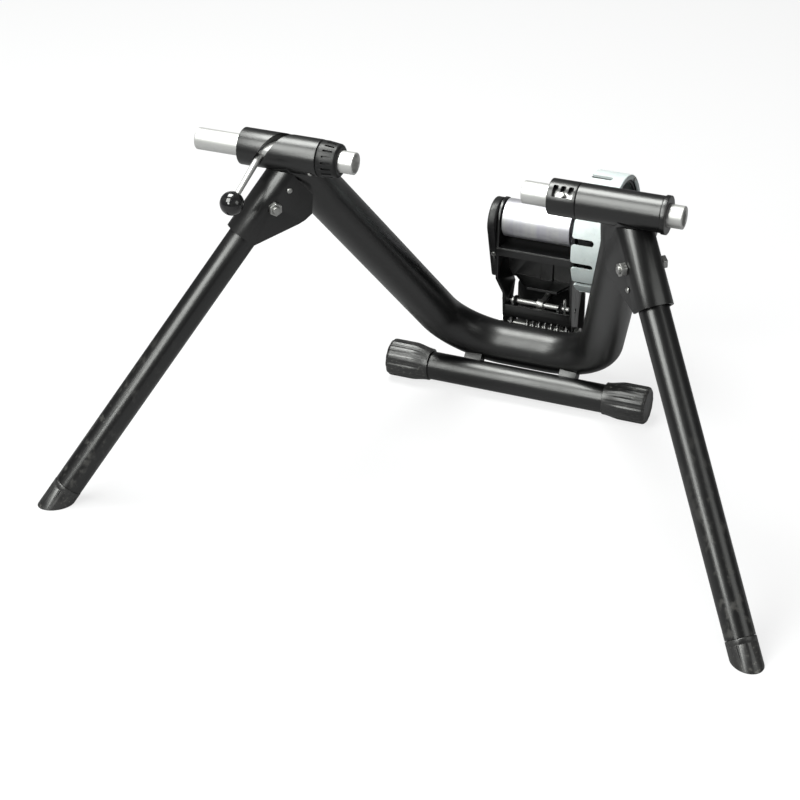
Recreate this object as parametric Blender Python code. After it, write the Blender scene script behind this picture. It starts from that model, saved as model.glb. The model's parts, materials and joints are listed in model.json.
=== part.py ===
"""Folding wind trainer for a bicycle: a U shaped tube frame on a foot crossbar and two folding legs,
an axle clamp worked by a lever in a helical slot, an adjustable opposite pin, and a roller unit with
a fan that swings on a sprung hinge pin.

Metres. X runs along the wheel's axle, +Y to the rear, +Z up. The origin is on the floor, under the
middle of the stance. Side -1 is left and side 1 is right, seen from the front.
Run it with: blender --background --python part.py
"""

import math

import bmesh
import bpy
from mathutils import Matrix, Vector

# The pieces are built with the axle line at y = 0 and the floor at FLOOR, and then moved together
AXLE_Y = -0.081
FLOOR = 0.003
AXLE_HEIGHT = 0.376
GAP = 0.0003

# Facets round a full turn
FINE = 32
ROUND = 20
SMALL = 12
TUBE_FACETS = 24

# Main frame: one bent tube, whose plane leans back from the axle line
TUBE_RADIUS = 0.0254
TUBE_WALL = 0.002
FRAME_LEAN = math.radians(38.5)
ARM_TOP_X = 0.193
ARM_SPLAY = math.radians(14.3)
BEND_RADIUS = 0.080
BEND_STEPS = 7
SQUEEZE_LENGTH = 0.034
SQUEEZE_FADE = 0.060
SQUEEZE_LIP = 0.0018

# Foot crossbar
BAR_RADIUS = 0.017
BAR_WALL = 0.002
BAR_HALF_LENGTH = 0.1585
SPACER_THICKNESS = 0.004
SPACER_WIDTH = 0.021
SPACER_DEPTH = 0.016
FOOT_BOLT_X = 0.060
FOOT_BOLT_RADIUS = 0.004
FOOT_BOLT_LIFT = 0.002
CAP_RADIUS = 0.0224
CAP_OFFSET = 0.0017
CAP_LENGTH = 0.0535
CAP_TAPER = 0.020
CAP_END_WALL = 0.0047
CAP_FLUTES = 12
CAP_FLUTE_DEPTH = 0.0011

# Axle clamp and pins
PIN_RADIUS = 0.012
PIN_BORE = 0.008
CUP_RADIUS = 0.0094
CUP_DEPTH = 0.009
LEFT_SLEEVE_RADIUS = 0.02025
LEFT_SLEEVE_OUTER = -0.2425
LEFT_SLEEVE_INNER = -0.151
ADJUSTER_CAP_INNER = -0.128
ADJUSTER_GROOVES = 18
LEFT_PIN_OUTER = -0.297
LEFT_PIN_SPLIT = -0.1505
LEFT_PIN_FACE = -0.1115
RIGHT_SLEEVE_RADIUS = 0.019
RIGHT_SLEEVE_OUTER = 0.231
RIGHT_SLEEVE_SEAM = 0.137
RIGHT_SLEEVE_INNER = 0.106
RIGHT_PIN_FACE = 0.0765
RIGHT_PIN_OUTER = 0.247
LEVER_X = -0.219
LEVER_ANGLE = math.radians(-21)
LEVER_TURN = math.radians(134)
LEVER_TRAVEL = 0.0284
LEVER_ROOT_RADIUS = 0.004
LEVER_TIP_RADIUS = 0.003
BALL_RADIUS = 0.013
BALL_REACH = 0.0855
SLOT_CLEARANCE = 0.0006
SLOT_STEPS = 14
STUD_RADIUS = 0.0025
STUD_ANGLE = math.radians(34)
NOTCH_COUNT = 3
NOTCH_WIDTH = 0.0054
NOTCH_PITCH = 0.0082

# Folding legs
LEG_RADIUS = 0.016
LEG_WALL = 0.002
PIVOT_X = 0.210
PIVOT_Y = -0.013
PIVOT_DROP = 0.054
LEG_LEAN = math.radians(39.1)
LEG_SPREAD = math.radians(45.6)
FOOT_HEAD = 0.025
FOOT_STEM = 0.028
BRACKET_GAP = 0.001
BRACKET_SHEET = 0.003
BRACKET_CORNER = 0.016
BRACKET_DROP = 0.046
PIVOT_BOLT_RADIUS = 0.004

# Roller unit
HINGE_BACK = 0.079057
HINGE_Z = 0.059
HINGE_RADIUS = 0.005
SHEET = 0.003
EAR_RADIUS = 0.012
MOUNT_EAR_X = 0.0355
BRACKET_EAR_X = 0.0425
CHEEK_X = -0.0515
JOGGLE_Z = 0.1055
JOGGLE_RISE = 0.018
ROLLER_BACK = 0.008
ROLLER_Z = 0.1953
ROLLER_RADIUS = 0.023
ROLLER_LEFT = -0.048
ROLLER_RIGHT = 0.037
SHAFT_RADIUS = 0.006
BEARING_RADIUS = 0.011
BLOCK_RADIUS = 0.027
BLOCK_OUTER = -0.0635
HUB_RADIUS = 0.019
HUB_OUTER = 0.0547
DRUM_RADIUS = 0.073
DRUM_WALL = 0.003
DRUM_LEFT = 0.055
DRUM_RIGHT = 0.0955
DRUM_RIM = 0.0065
LUG_COUNT = 15
LUG_GAP = 0.0076
LUG_LENGTH = 0.027
LUG_PHASE = math.radians(178.4)
BLADE_COUNT = 12
BLADE_INNER = 0.026
BLADE_CLEARANCE = 0.006
BLADE_THICKNESS = 0.002
FAN_HUB_END = 0.0802
CHEEK_RADIUS = 0.024
PANEL_BACK = 0.0235
PANEL_TOP = 0.172
LIP_Z = 0.1645
LIP_DEPTH = 0.0425
LIP_DROP = 0.008
SHELF_Z = 0.1128
SHELF_DEPTH = 0.0325
SHELF_ROOT = (-0.0415, 0.034)
SHELF_TIP = (-0.0155, 0.0225)
RIB_X = (-0.0078, 0.0075)
WEB_FRONT = 0.0125
WEB_LOW = 0.074
WEB_TOP = 0.0893
PLATE_Z = 0.036
WALL_BACK = 0.033
WALL_LOW = 0.037
WALL_TOP = 0.106
WALL_LEFT = 0.040
WALL_RIGHT = 0.046
WALL_CORNER = 0.008
CLEVIS_LEFT = -0.0315
CLEVIS_RIGHT = 0.0255
BLOCK_SCREW_X = -0.0572
BLOCK_FRONT = ((-0.0308, -0.0058), (-0.0113, -0.0732))
BLOCK_FOOT = (-0.0065, 0.012)
BLOCK_DROP = 0.0718
BLOCK_CORNER = 0.005
ROD_Z = 0.090
ROD_RADIUS = 0.003
ROD_END = 0.0365
ROD_TAIL = -0.0495
TAIL_RADIUS = 0.0015
CLIP_WIRE = 0.0009
SCREW_RADIUS = 0.004
KNOB_RADIUS = 0.017
KNOB_LOBES = 6
KNOB_DEPTH = 0.018
SPRING_COILS = 6
SPRING_SHIFT = 0.0065
SPRING_PITCH = 0.0078
SPRING_WIRE = 0.002
SPRING_RADIUS = 0.009

SIDES = {"left": -1, "right": 1}
BEYOND = 0.1
RIVET_PLACES = {"left": (0.0034, -0.0245), "right": (0.0055, 0.0209)}
AXLE = Vector((0, 0, AXLE_HEIGHT))
DOWN_FRAME = Vector((0, math.sin(FRAME_LEAN), -math.cos(FRAME_LEAN)))
FRAME_NORMAL = Vector((0, math.cos(FRAME_LEAN), math.sin(FRAME_LEAN)))
BAR_TO_TUBE = TUBE_RADIUS + SPACER_THICKNESS + BAR_RADIUS
BAR_HEIGHT = FLOOR + CAP_RADIUS - CAP_OFFSET
FRAME_DROP = (AXLE_HEIGHT - BAR_HEIGHT - BAR_TO_TUBE * FRAME_NORMAL.z) / math.cos(FRAME_LEAN)
BAR_CENTRE = AXLE + DOWN_FRAME * FRAME_DROP - FRAME_NORMAL * BAR_TO_TUBE
PIVOT = Vector((PIVOT_X, PIVOT_Y, AXLE_HEIGHT - PIVOT_DROP))
LEG_REACH = (PIVOT.z - FLOOR) / math.cos(LEG_LEAN)
HINGE_Y = round(BAR_CENTRE.y + HINGE_BACK, 6)
ROLLER_Y = HINGE_Y + ROLLER_BACK
PANEL_Y = HINGE_Y + PANEL_BACK
WEB_Y = HINGE_Y - WEB_FRONT
WALL_Y = HINGE_Y + WALL_BACK
BLADE_OUTER = DRUM_RADIUS - DRUM_WALL - BLADE_CLEARANCE
ROLLER_CENTRE = Vector((0, ROLLER_Y, ROLLER_Z))
HINGE_CENTRE = Vector((0, HINGE_Y, HINGE_Z))

MATERIALS = {
    "black_paint": ((0.012, 0.012, 0.013), 0.32, 0.0),
    "black_plastic": ((0.015, 0.015, 0.016), 0.5, 0.0),
    "black_rubber": ((0.022, 0.022, 0.023), 0.75, 0.0),
    "gloss_black": ((0.008, 0.008, 0.009), 0.12, 0.0),
    "grey_plastic": ((0.52, 0.56, 0.55), 0.45, 0.0),
    "bright_steel": ((0.72, 0.72, 0.71), 0.3, 1.0),
    "zinc": ((0.6, 0.61, 0.62), 0.38, 1.0),
    "spring_steel": ((0.42, 0.42, 0.42), 0.4, 1.0),
}


def material(name):
    found = bpy.data.materials.get(name)
    if found:
        return found
    colour, roughness, metallic = MATERIALS[name]
    made = bpy.data.materials.new(name)
    made.use_nodes = True
    shader = made.node_tree.nodes["Principled BSDF"]
    shader.inputs["Base Color"].default_value = (*colour, 1)
    shader.inputs["Roughness"].default_value = roughness
    shader.inputs["Metallic"].default_value = metallic
    made.diffuse_color = (*colour, 1)
    return made


# Shapes

def placed(origin, z_axis, x_axis=(1, 0, 0)):
    """The matrix that puts a shape's local Z along z_axis, with its local X towards x_axis."""
    z = Vector(z_axis).normalized()
    x = Vector(x_axis)
    x = (x - z * x.dot(z)).normalized()
    matrix = Matrix((x, z.cross(x), z)).transposed().to_4x4()
    matrix.translation = origin
    return matrix


def solid(name, rings, matrix=None, closed=False):
    """An object from rings of points, one after the other. A ring of one point is a tip on the axis.
    Open rows are capped at both ends, and closed ones join the last ring to the first."""
    shape = bmesh.new()
    rows = [[shape.verts.new(point) for point in ring] for ring in rings]
    pairs = list(zip(rows, rows[1:]))
    if closed:
        pairs.append((rows[-1], rows[0]))
    for low, high in pairs:
        count = max(len(low), len(high))
        for i in range(count):
            j = (i + 1) % count
            corners = [low[i % len(low)], low[j % len(low)], high[j % len(high)], high[i % len(high)]]
            corners = list(dict.fromkeys(corners))
            if len(corners) > 2:
                shape.faces.new(corners)
    if not closed:
        for row in (rows[0], rows[-1]):
            if len(row) > 2:
                shape.faces.new(row)
    bmesh.ops.recalc_face_normals(shape, faces=shape.faces)
    mesh = bpy.data.meshes.new(name)
    shape.to_mesh(mesh)
    shape.free()
    obj = bpy.data.objects.new(name, mesh)
    bpy.context.scene.collection.objects.link(obj)
    obj.matrix_world = matrix or Matrix()
    return obj


def circle(radius, z, count, start=0.0):
    if radius == 0:
        return [Vector((0, 0, z))]
    turn = math.tau / count
    return [
        Vector((radius * math.cos(start + i * turn), radius * math.sin(start + i * turn), z))
        for i in range(count)
    ]


def turned(name, profile, count, matrix, closed=True):
    """A turned piece: (place along the axis, radius) pairs, as a closed section or from tip to tip."""
    rings = [circle(radius, place, count) for place, radius in profile]
    return solid(name, rings, matrix, closed)


def prism(name, outline, low, high, matrix):
    """An outline in local X and Y, extruded from low to high along local Z."""
    rings = [[Vector((x, y, z)) for x, y in outline] for z in (low, high)]
    return solid(name, rings, matrix)


def box(name, low, high, matrix=None):
    outline = [(low[0], low[1]), (high[0], low[1]), (high[0], high[1]), (low[0], high[1])]
    return prism(name, outline, low[2], high[2], matrix)


def arc(centre, radius, first, last, steps):
    """Points of an arc in the plane, angles in degrees."""
    return [
        (
            centre[0] + radius * math.cos(math.radians(first + (last - first) * i / steps)),
            centre[1] + radius * math.sin(math.radians(first + (last - first) * i / steps)),
        )
        for i in range(steps + 1)
    ]


def apply_modifiers(obj):
    graph = bpy.context.evaluated_depsgraph_get()
    graph.update()
    mesh = bpy.data.meshes.new_from_object(obj.evaluated_get(graph))
    old = obj.data
    obj.modifiers.clear()
    obj.data = mesh
    bpy.data.meshes.remove(old)
    mesh.name = obj.name


def combine(obj, others, operation):
    """Cuts the others from an object, joins them to it or keeps what it shares with them."""
    bpy.context.view_layer.update()
    for other in others:
        step = obj.modifiers.new(operation, "BOOLEAN")
        step.operation = operation
        step.object = other
        step.solver = "EXACT"
        apply_modifiers(obj)
    for other in others:
        bpy.data.meshes.remove(other.data)
    return obj


def cut(obj, *others):
    return combine(obj, others, "DIFFERENCE")


def join(obj, *others):
    return combine(obj, others, "UNION")


def keep(obj, *others):
    return combine(obj, others, "INTERSECT")


def bevelled(obj, width, segments=2, angle=40):
    step = obj.modifiers.new("edges", "BEVEL")
    step.width = width
    step.segments = segments
    step.limit_method = "ANGLE"
    step.angle_limit = math.radians(angle)
    apply_modifiers(obj)
    return obj


def merged(name, pieces):
    """One mesh from pieces that don't touch, for use as a single cutter."""
    shape = bmesh.new()
    for piece in pieces:
        start = len(shape.verts)
        shape.from_mesh(piece.data)
        shape.verts.ensure_lookup_table()
        bmesh.ops.transform(shape, matrix=piece.matrix_world, verts=shape.verts[start:])
        bpy.data.meshes.remove(piece.data)
    mesh = bpy.data.meshes.new(name)
    shape.to_mesh(mesh)
    shape.free()
    obj = bpy.data.objects.new(name, mesh)
    bpy.context.scene.collection.objects.link(obj)
    return obj


def rod(name, start, end, radius, count=SMALL, start_radius=None):
    """A plain round bar between two points."""
    start, end = Vector(start), Vector(end)
    length = (end - start).length
    side = (1, 0, 0) if abs((end - start).normalized().x) < 0.9 else (0, 1, 0)
    profile = [(0, 0), (0, start_radius or radius), (length, radius), (length, 0)]
    return turned(name, profile, count, placed(start, end - start, side), closed=False)


def hexagon(name, start, direction, across, height, bore=0.0):
    """A hexagonal head or, with a bore, a nut."""
    start, direction = Vector(start), Vector(direction).normalized()
    side = (0, 0, 1) if abs(direction.z) < 0.9 else (1, 0, 0)
    matrix = placed(start, direction, side)
    radius = across / math.sqrt(3)
    made = solid(name, [circle(radius, z, 6) for z in (0, height)], matrix)
    if bore:
        cut(made, rod("bore", start - direction * height, start + direction * 2 * height, bore))
    return made


def bolt(name, start, direction, length, radius, across, head):
    """A bolt: the head's under side at start, the head behind it and the shank ahead."""
    start, direction = Vector(start), Vector(direction).normalized()
    made = hexagon(name, start - direction * head, direction, across, head)
    return join(made, rod("shank", start - direction * head / 2, start + direction * length, radius))


def wire(name, points, radius, ring=1):
    """One unbroken round wire through points, closed at both ends."""
    curve = bpy.data.curves.new(name, "CURVE")
    curve.dimensions = "3D"
    curve.bevel_depth = radius
    curve.bevel_resolution = ring
    curve.use_fill_caps = True
    spline = curve.splines.new("POLY")
    spline.points.add(len(points) - 1)
    for slot, point in zip(spline.points, points):
        slot.co = (*point, 1)
    obj = bpy.data.objects.new(name, curve)
    bpy.context.scene.collection.objects.link(obj)
    return obj


def around_axle(x, radius, angle):
    """A point round the axle line: angle 0 is in front of it and a quarter turn is above it."""
    return AXLE + Vector((x, -radius * math.cos(angle), radius * math.sin(angle)))


def sheet_outline(points, thickness):
    """The outline of a folded sheet whose middle line runs through points."""
    half = thickness / 2
    flat = [Vector(point) for point in points]
    left, right = [], []
    for i, point in enumerate(flat):
        before = (point - flat[i - 1]).normalized() if i else None
        after = (flat[i + 1] - point).normalized() if i + 1 < len(flat) else None
        along = (before or after) + (after or before)
        across = Vector((-along.y, along.x)).normalized()
        normal = Vector((-(after or before).y, (after or before).x))
        reach = half / across.dot(normal)
        left.append(tuple(point + across * reach))
        right.append(tuple(point - across * reach))
    return left + right[::-1]


ALONG_AXLE = placed(AXLE, (1, 0, 0), (0, -1, 0))
ALONG_ROLLER = placed(ROLLER_CENTRE, (1, 0, 0), (0, 1, 0))
ACROSS_UNIT = placed((0, 0, 0), (1, 0, 0), (0, 1, 0))


# Main frame

def squeeze(distance, sleeve_radius):
    """Half widths of the tube, across and in the frame's plane, at a distance from the axle line. The
    ends are pressed to the width of the sleeve that they hold."""
    narrow = sleeve_radius + SQUEEZE_LIP
    share = min(max((distance - SQUEEZE_LENGTH) / SQUEEZE_FADE, 0), 1)
    share = share * share * (3 - 2 * share)
    across = narrow + (TUBE_RADIUS - narrow) * share
    return across, 2 * TUBE_RADIUS - across


def frame_half(side, sleeve_radius):
    """Stations of one half of the bent tube, from the axle down: place, direction and half widths."""
    down = DOWN_FRAME * math.cos(ARM_SPLAY) + Vector((-side * math.sin(ARM_SPLAY), 0, 0))
    top = AXLE + Vector((side * ARM_TOP_X, 0, 0))
    turn = math.pi / 2 - ARM_SPLAY
    arm_length = FRAME_DROP / math.cos(ARM_SPLAY) - BEND_RADIUS * math.tan(turn / 2)
    reaches = [0, SQUEEZE_LENGTH]
    reaches += [SQUEEZE_LENGTH + SQUEEZE_FADE * i / 3 for i in range(1, 4)]
    stations = [(top + down * reach, down, squeeze(reach, sleeve_radius)) for reach in reaches]
    inward = Vector((-side, 0, 0))
    towards = (inward - down * inward.dot(down)).normalized()
    centre = top + down * arm_length + towards * BEND_RADIUS
    for i in range(BEND_STEPS + 1):
        angle = turn * i / BEND_STEPS
        place = centre - towards * BEND_RADIUS * math.cos(angle) + down * BEND_RADIUS * math.sin(angle)
        direction = down * math.cos(angle) + towards * math.sin(angle)
        stations.append((place, direction, (TUBE_RADIUS, TUBE_RADIUS)))
    return stations


def frame_rings(offset, count=TUBE_FACETS):
    left = frame_half(-1, LEFT_SLEEVE_RADIUS)
    right = [(place, -direction, widths) for place, direction, widths in frame_half(1, RIGHT_SLEEVE_RADIUS)]
    rings = []
    for place, direction, (across, level) in left + right[::-1]:
        side = direction.cross(FRAME_NORMAL).normalized()
        ring = []
        for i in range(count):
            angle = math.tau * i / count
            ring.append(
                place
                + FRAME_NORMAL * (across + offset) * math.cos(angle)
                + side * (level + offset) * math.sin(angle)
            )
        rings.append(ring)
    return rings


def frame_cutter():
    return solid("frame_cutter", frame_rings(GAP))


def sleeve_cutter(side):
    if side < 0:
        ends, radius = (LEFT_SLEEVE_OUTER - 0.02, LEFT_SLEEVE_INNER + 0.02), LEFT_SLEEVE_RADIUS
    else:
        ends, radius = (RIGHT_SLEEVE_INNER - 0.02, RIGHT_SLEEVE_OUTER + 0.02), RIGHT_SLEEVE_RADIUS
    start, end = (AXLE + Vector((x, 0, 0)) for x in ends)
    return rod("sleeve_cutter", start, end, radius + GAP, FINE)


def bend_rise(x):
    """How far the bent tube's middle line has risen from its lowest run, x from the middle."""
    straight = ARM_TOP_X - FRAME_DROP * math.tan(ARM_SPLAY)
    straight -= BEND_RADIUS * math.tan((math.pi / 2 - ARM_SPLAY) / 2)
    past = max(abs(x) - straight, 0)
    return BEND_RADIUS - math.sqrt(BEND_RADIUS**2 - past**2)


def foot_bolt_line(side):
    """Where a foot bolt crosses the crossbar's axis, its direction, and how far the tube's middle is."""
    start = BAR_CENTRE + Vector((side * FOOT_BOLT_X, 0, 0))
    towards = FRAME_NORMAL * BAR_TO_TUBE - DOWN_FRAME * bend_rise(FOOT_BOLT_X)
    return start, towards.normalized(), towards.length


def main_frame():
    made = solid("main_frame_tube", frame_rings(0) + frame_rings(-TUBE_WALL)[::-1], closed=True)
    holes = []
    for side in SIDES.values():
        start, direction, middle = foot_bolt_line(side)
        holes.append(rod("hole", start, start + direction * middle, FOOT_BOLT_RADIUS + GAP))
    cut(made, sleeve_cutter(-1), sleeve_cutter(1), *holes)
    return made, "black_paint"


def foot_crossbar():
    outer, inner, half = BAR_RADIUS, BAR_RADIUS - BAR_WALL, BAR_HALF_LENGTH
    made = turned(
        "foot_crossbar",
        [(-half, outer), (half, outer), (half, inner), (-half, inner)],
        ROUND,
        placed(BAR_CENTRE, (1, 0, 0), (0, 1, 0)),
    )
    for side in SIDES.values():
        start, direction, _ = foot_bolt_line(side)
        cut(made, rod("hole", start, start + direction * 2 * BAR_RADIUS, FOOT_BOLT_RADIUS + GAP))
    return made, "black_paint"


def foot_spacer(word, side):
    """A saddle washer, hollow on both faces, between the crossbar and the frame tube."""
    start, direction, _ = foot_bolt_line(side)
    matrix = placed(start, direction, (1, 0, 0))
    low, high = BAR_RADIUS * 0.8, BAR_RADIUS + SPACER_THICKNESS + TUBE_RADIUS * 0.3
    half = (SPACER_WIDTH / 2, SPACER_DEPTH / 2)
    made = box(word + "_foot_spacer", (-half[0], -half[1], low), (half[0], half[1], high), matrix)
    bar = rod(
        "bar_cutter",
        BAR_CENTRE - Vector((0.2, 0, 0)),
        BAR_CENTRE + Vector((0.2, 0, 0)),
        BAR_RADIUS + GAP,
        ROUND,
    )
    hole = rod("hole", start, start + direction * 2 * TUBE_RADIUS, FOOT_BOLT_RADIUS + GAP)
    return cut(made, bar, frame_cutter(), hole), "black_paint"


def foot_bolt(word, side):
    """From inside the frame tube, through its wall and the spacer, into the crossbar."""
    start, direction, middle = foot_bolt_line(side)
    reach = middle - TUBE_RADIUS + TUBE_WALL + FOOT_BOLT_LIFT
    length = reach - BAR_RADIUS / 2
    name = word + "_foot_bolt"
    return bolt(name, start + direction * reach, -direction, length, FOOT_BOLT_RADIUS, 0.013, 0.005), "zinc"


def foot_cap(word, side):
    """A ribbed rubber cup pushed over the crossbar's end, narrow at its mouth. Its bore is off centre,
    so that turning the cup levels the stand."""
    mouth = BAR_HALF_LENGTH + CAP_END_WALL - CAP_LENGTH
    end = BAR_HALF_LENGTH + CAP_END_WALL
    bore = BAR_RADIUS + GAP
    count = CAP_FLUTES * 4

    def fluted(radius, place, depth):
        ring = []
        for i in range(count):
            angle = math.tau * (i + 0.5) / count - math.pi / 2
            shrink = depth if i % 4 in (1, 2) else 0
            reach = radius - shrink
            ring.append(Vector((reach * math.cos(angle), reach * math.sin(angle) + CAP_OFFSET, place)))
        return ring

    start = -math.pi / 2 + math.pi / count
    rim = [point + Vector((0, CAP_OFFSET / 2, 0)) for point in circle(BAR_RADIUS + 0.0022, mouth, count, start)]
    rings = [
        circle(bore, mouth, count, start),
        rim,
        fluted(CAP_RADIUS - 0.0008, mouth + CAP_TAPER, CAP_FLUTE_DEPTH * 0.6),
        fluted(CAP_RADIUS, mouth + CAP_TAPER + 0.004, CAP_FLUTE_DEPTH),
        fluted(CAP_RADIUS, end - 0.003, CAP_FLUTE_DEPTH),
        fluted(CAP_RADIUS - 0.003, end, CAP_FLUTE_DEPTH * 0.4),
        [Vector((0, 0, end))],
        [Vector((0, 0, BAR_HALF_LENGTH + GAP))],
        circle(bore, BAR_HALF_LENGTH + GAP, count, start),
    ]
    matrix = placed(BAR_CENTRE, (side, 0, 0), (0, side, 0))
    return solid(word + "_foot_cap", rings, matrix, closed=True), "black_rubber"


# Folding legs

def leg_matrix(side):
    """Local Z runs down the leg, local Y towards the frame arm and local X along the fold's axis."""
    outward = Vector((side * math.cos(LEG_SPREAD), -math.sin(LEG_SPREAD), 0))
    down = outward * math.sin(LEG_LEAN) - Vector((0, 0, math.cos(LEG_LEAN)))
    back = -outward * math.cos(LEG_LEAN) - Vector((0, 0, math.sin(LEG_LEAN)))
    origin = Vector((side * PIVOT.x, PIVOT.y, PIVOT.z))
    return placed(origin, down, back.cross(down))


def across_leg(side, x):
    """A point on the fold's axis, x along it from the leg's middle, positive towards the wheel."""
    matrix = leg_matrix(side)
    return matrix @ Vector((side * x, 0, 0))


def leg_hole(side, radius):
    return rod("hole", across_leg(side, -0.05), across_leg(side, 0.05), radius)


def leg_bracket(word, side):
    """A folded channel round the leg's front: its web stops the leg and its cheeks carry the pivot."""
    half = LEG_RADIUS + BRACKET_GAP + BRACKET_SHEET / 2
    back = 0.046
    corner = BRACKET_CORNER
    front = -half
    middle = [(half, back)]
    middle += arc((half - corner, front + corner), corner, 0, -90, 7)
    middle += arc((-half + corner, front + corner), corner, 270, 180, 7)
    middle += [(-half, back)]
    matrix = leg_matrix(side)
    top = -0.058
    made = prism(word + "_leg_bracket", sheet_outline(middle, BRACKET_SHEET), top, BRACKET_DROP, matrix)
    front = -half - BRACKET_SHEET
    shape = [
        (front, BRACKET_DROP),
        (0.007, BRACKET_DROP),
        (0.037, 0.001),
        (0.0405, -0.006),
        (0.043, -0.016),
        (0.030, -0.034),
        (0.0, -0.040),
        (front, top - 0.001),
    ]
    side_view = prism(
        "side_view",
        shape,
        -0.04,
        0.04,
        matrix @ placed((0, 0, 0), (1, 0, 0), (0, 1, 0)),
    )
    keep(made, side_view)
    cut(made, frame_cutter(), sleeve_cutter(side), leg_hole(side, PIVOT_BOLT_RADIUS + GAP))
    return made, "black_paint"


def leg_top_cutter(side):
    """What the top of the leg's tube loses, so that it turns inside the bracket's round corners."""
    straight = LEG_RADIUS + BRACKET_GAP + BRACKET_SHEET / 2 - BRACKET_CORNER
    corner = BRACKET_CORNER - BRACKET_SHEET / 2
    turns = [math.radians(turn) for turn in (0, 15, 30, 45, 60, 72, 85)]
    quarter = [
        (straight + corner * math.sin(turn), straight + corner * math.cos(turn) - BRACKET_GAP) for turn in turns
    ]
    edge = quarter[-1][0] + 0.0001
    profile = [(-edge, 0)] + [(-x, y) for x, y in quarter[::-1]] + quarter + [(edge, 0)]
    matrix = leg_matrix(side)
    barrel = turned("barrel", profile, FINE, matrix @ placed((0, 0, 0), (1, 0, 0), (0, 1, 0)), closed=False)
    wide = 1.4 * LEG_RADIUS
    return cut(box("above", (-wide, -wide, -wide), (wide, wide, 0), matrix), barrel)


def leg_tube(word, side):
    outer, inner = LEG_RADIUS, LEG_RADIUS - LEG_WALL
    end = LEG_REACH - FOOT_HEAD
    made = turned(
        word + "_leg_tube",
        [(-outer - 0.002, outer), (end, outer), (end, inner), (-outer - 0.002, inner)],
        ROUND,
        leg_matrix(side),
    )
    return cut(made, leg_top_cutter(side), leg_hole(side, PIVOT_BOLT_RADIUS + GAP)), "black_paint"


def leg_foot(word, side):
    """A plug whose stem fills the tube's end and whose head is cut flat to the floor."""
    end = LEG_REACH - FOOT_HEAD
    stem, head = LEG_RADIUS - LEG_WALL - GAP, LEG_RADIUS + 0.0003
    made = turned(
        word + "_leg_foot",
        [
            (end - FOOT_STEM, 0),
            (end - FOOT_STEM, stem - 0.002),
            (end - FOOT_STEM + 0.003, stem),
            (end + GAP, stem),
            (end + GAP, head - 0.0008),
            (end + GAP + 0.0008, head),
            (LEG_REACH + 0.03, head),
            (LEG_REACH + 0.03, 0),
        ],
        ROUND,
        leg_matrix(side),
        closed=False,
    )
    tip = leg_matrix(side) @ Vector((0, 0, LEG_REACH))
    under = box("floor", (tip.x - 0.1, tip.y - 0.1, -0.1), (tip.x + 0.1, tip.y + 0.1, FLOOR))
    return cut(made, under), "black_rubber"


def pivot_bolt(word, side):
    face = LEG_RADIUS + BRACKET_GAP + BRACKET_SHEET + GAP
    start = across_leg(side, -face)
    inward = (across_leg(side, 1) - across_leg(side, 0)).normalized()
    made = bolt(word + "_pivot_bolt", start, inward, 2 * face + 0.0085, PIVOT_BOLT_RADIUS, 0.013, 0.0053)
    return made, "zinc"


def pivot_nut(word, side):
    face = LEG_RADIUS + BRACKET_GAP + BRACKET_SHEET + GAP
    inward = (across_leg(side, 1) - across_leg(side, 0)).normalized()
    return hexagon(
        word + "_pivot_nut", across_leg(side, face), inward, 0.013, 0.0065, PIVOT_BOLT_RADIUS + GAP
    ), "zinc"


def stop_rivet(word, side, place):
    """A small round rivet head on the inner cheek of the bracket; place is (back, down) from the pivot."""
    face = LEG_RADIUS + BRACKET_GAP + BRACKET_SHEET + GAP
    matrix = leg_matrix(side)
    start = matrix @ Vector((side * face, *place))
    inward = matrix.to_3x3() @ Vector((side, 0, 0))
    profile = [(0, 0), (0, 0.0034), (0.0009, 0.0031), (0.0018, 0.0018), (0.0021, 0)]
    return turned(word + "_stop_rivet", profile, SMALL, placed(start, inward, (0, 0, 1)), closed=False), "zinc"


# Axle clamp on the left

def helix_x(angle):
    return LEVER_X + LEVER_TRAVEL * (angle - LEVER_ANGLE) / LEVER_TURN


def slot_cutter():
    """The lever's path: the strip that its sides sweep along the helix, with round ends."""
    inner, outer = PIN_RADIUS - 0.002, LEFT_SLEEVE_RADIUS + 0.002
    half = LEVER_ROOT_RADIUS + SLOT_CLEARANCE
    lead = LEVER_TRAVEL / LEVER_TURN
    rings = []
    for i in range(SLOT_STEPS + 1):
        angle = LEVER_ANGLE + LEVER_TURN * i / SLOT_STEPS
        round_way = Vector((0, math.sin(angle), math.cos(angle)))
        row = []
        for radius, way in ((inner, -half), (inner, half), (outer, half), (outer, -half)):
            across_path = (Vector((radius, 0, 0)) - round_way * lead).normalized()
            row.append(around_axle(helix_x(angle), radius, angle) + across_path * way)
        rings.append(row)
    strip = solid("slot", rings)
    ends = []
    for angle in (LEVER_ANGLE, LEVER_ANGLE + LEVER_TURN):
        x = helix_x(angle)
        ends.append(rod("slot_end", around_axle(x, inner, angle), around_axle(x, outer, angle), half, ROUND))
    return join(strip, *ends)


def left_clamp_sleeve():
    bore = PIN_RADIUS + GAP
    edge = 0.0008
    made = turned(
        "left_clamp_sleeve",
        [
            (LEFT_SLEEVE_OUTER, LEFT_SLEEVE_RADIUS - edge),
            (LEFT_SLEEVE_OUTER + edge, LEFT_SLEEVE_RADIUS),
            (LEFT_SLEEVE_INNER, LEFT_SLEEVE_RADIUS),
            (LEFT_SLEEVE_INNER, bore),
            (LEFT_SLEEVE_OUTER, bore),
        ],
        FINE,
        ALONG_AXLE,
    )
    return cut(made, slot_cutter()), "black_paint"


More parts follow.
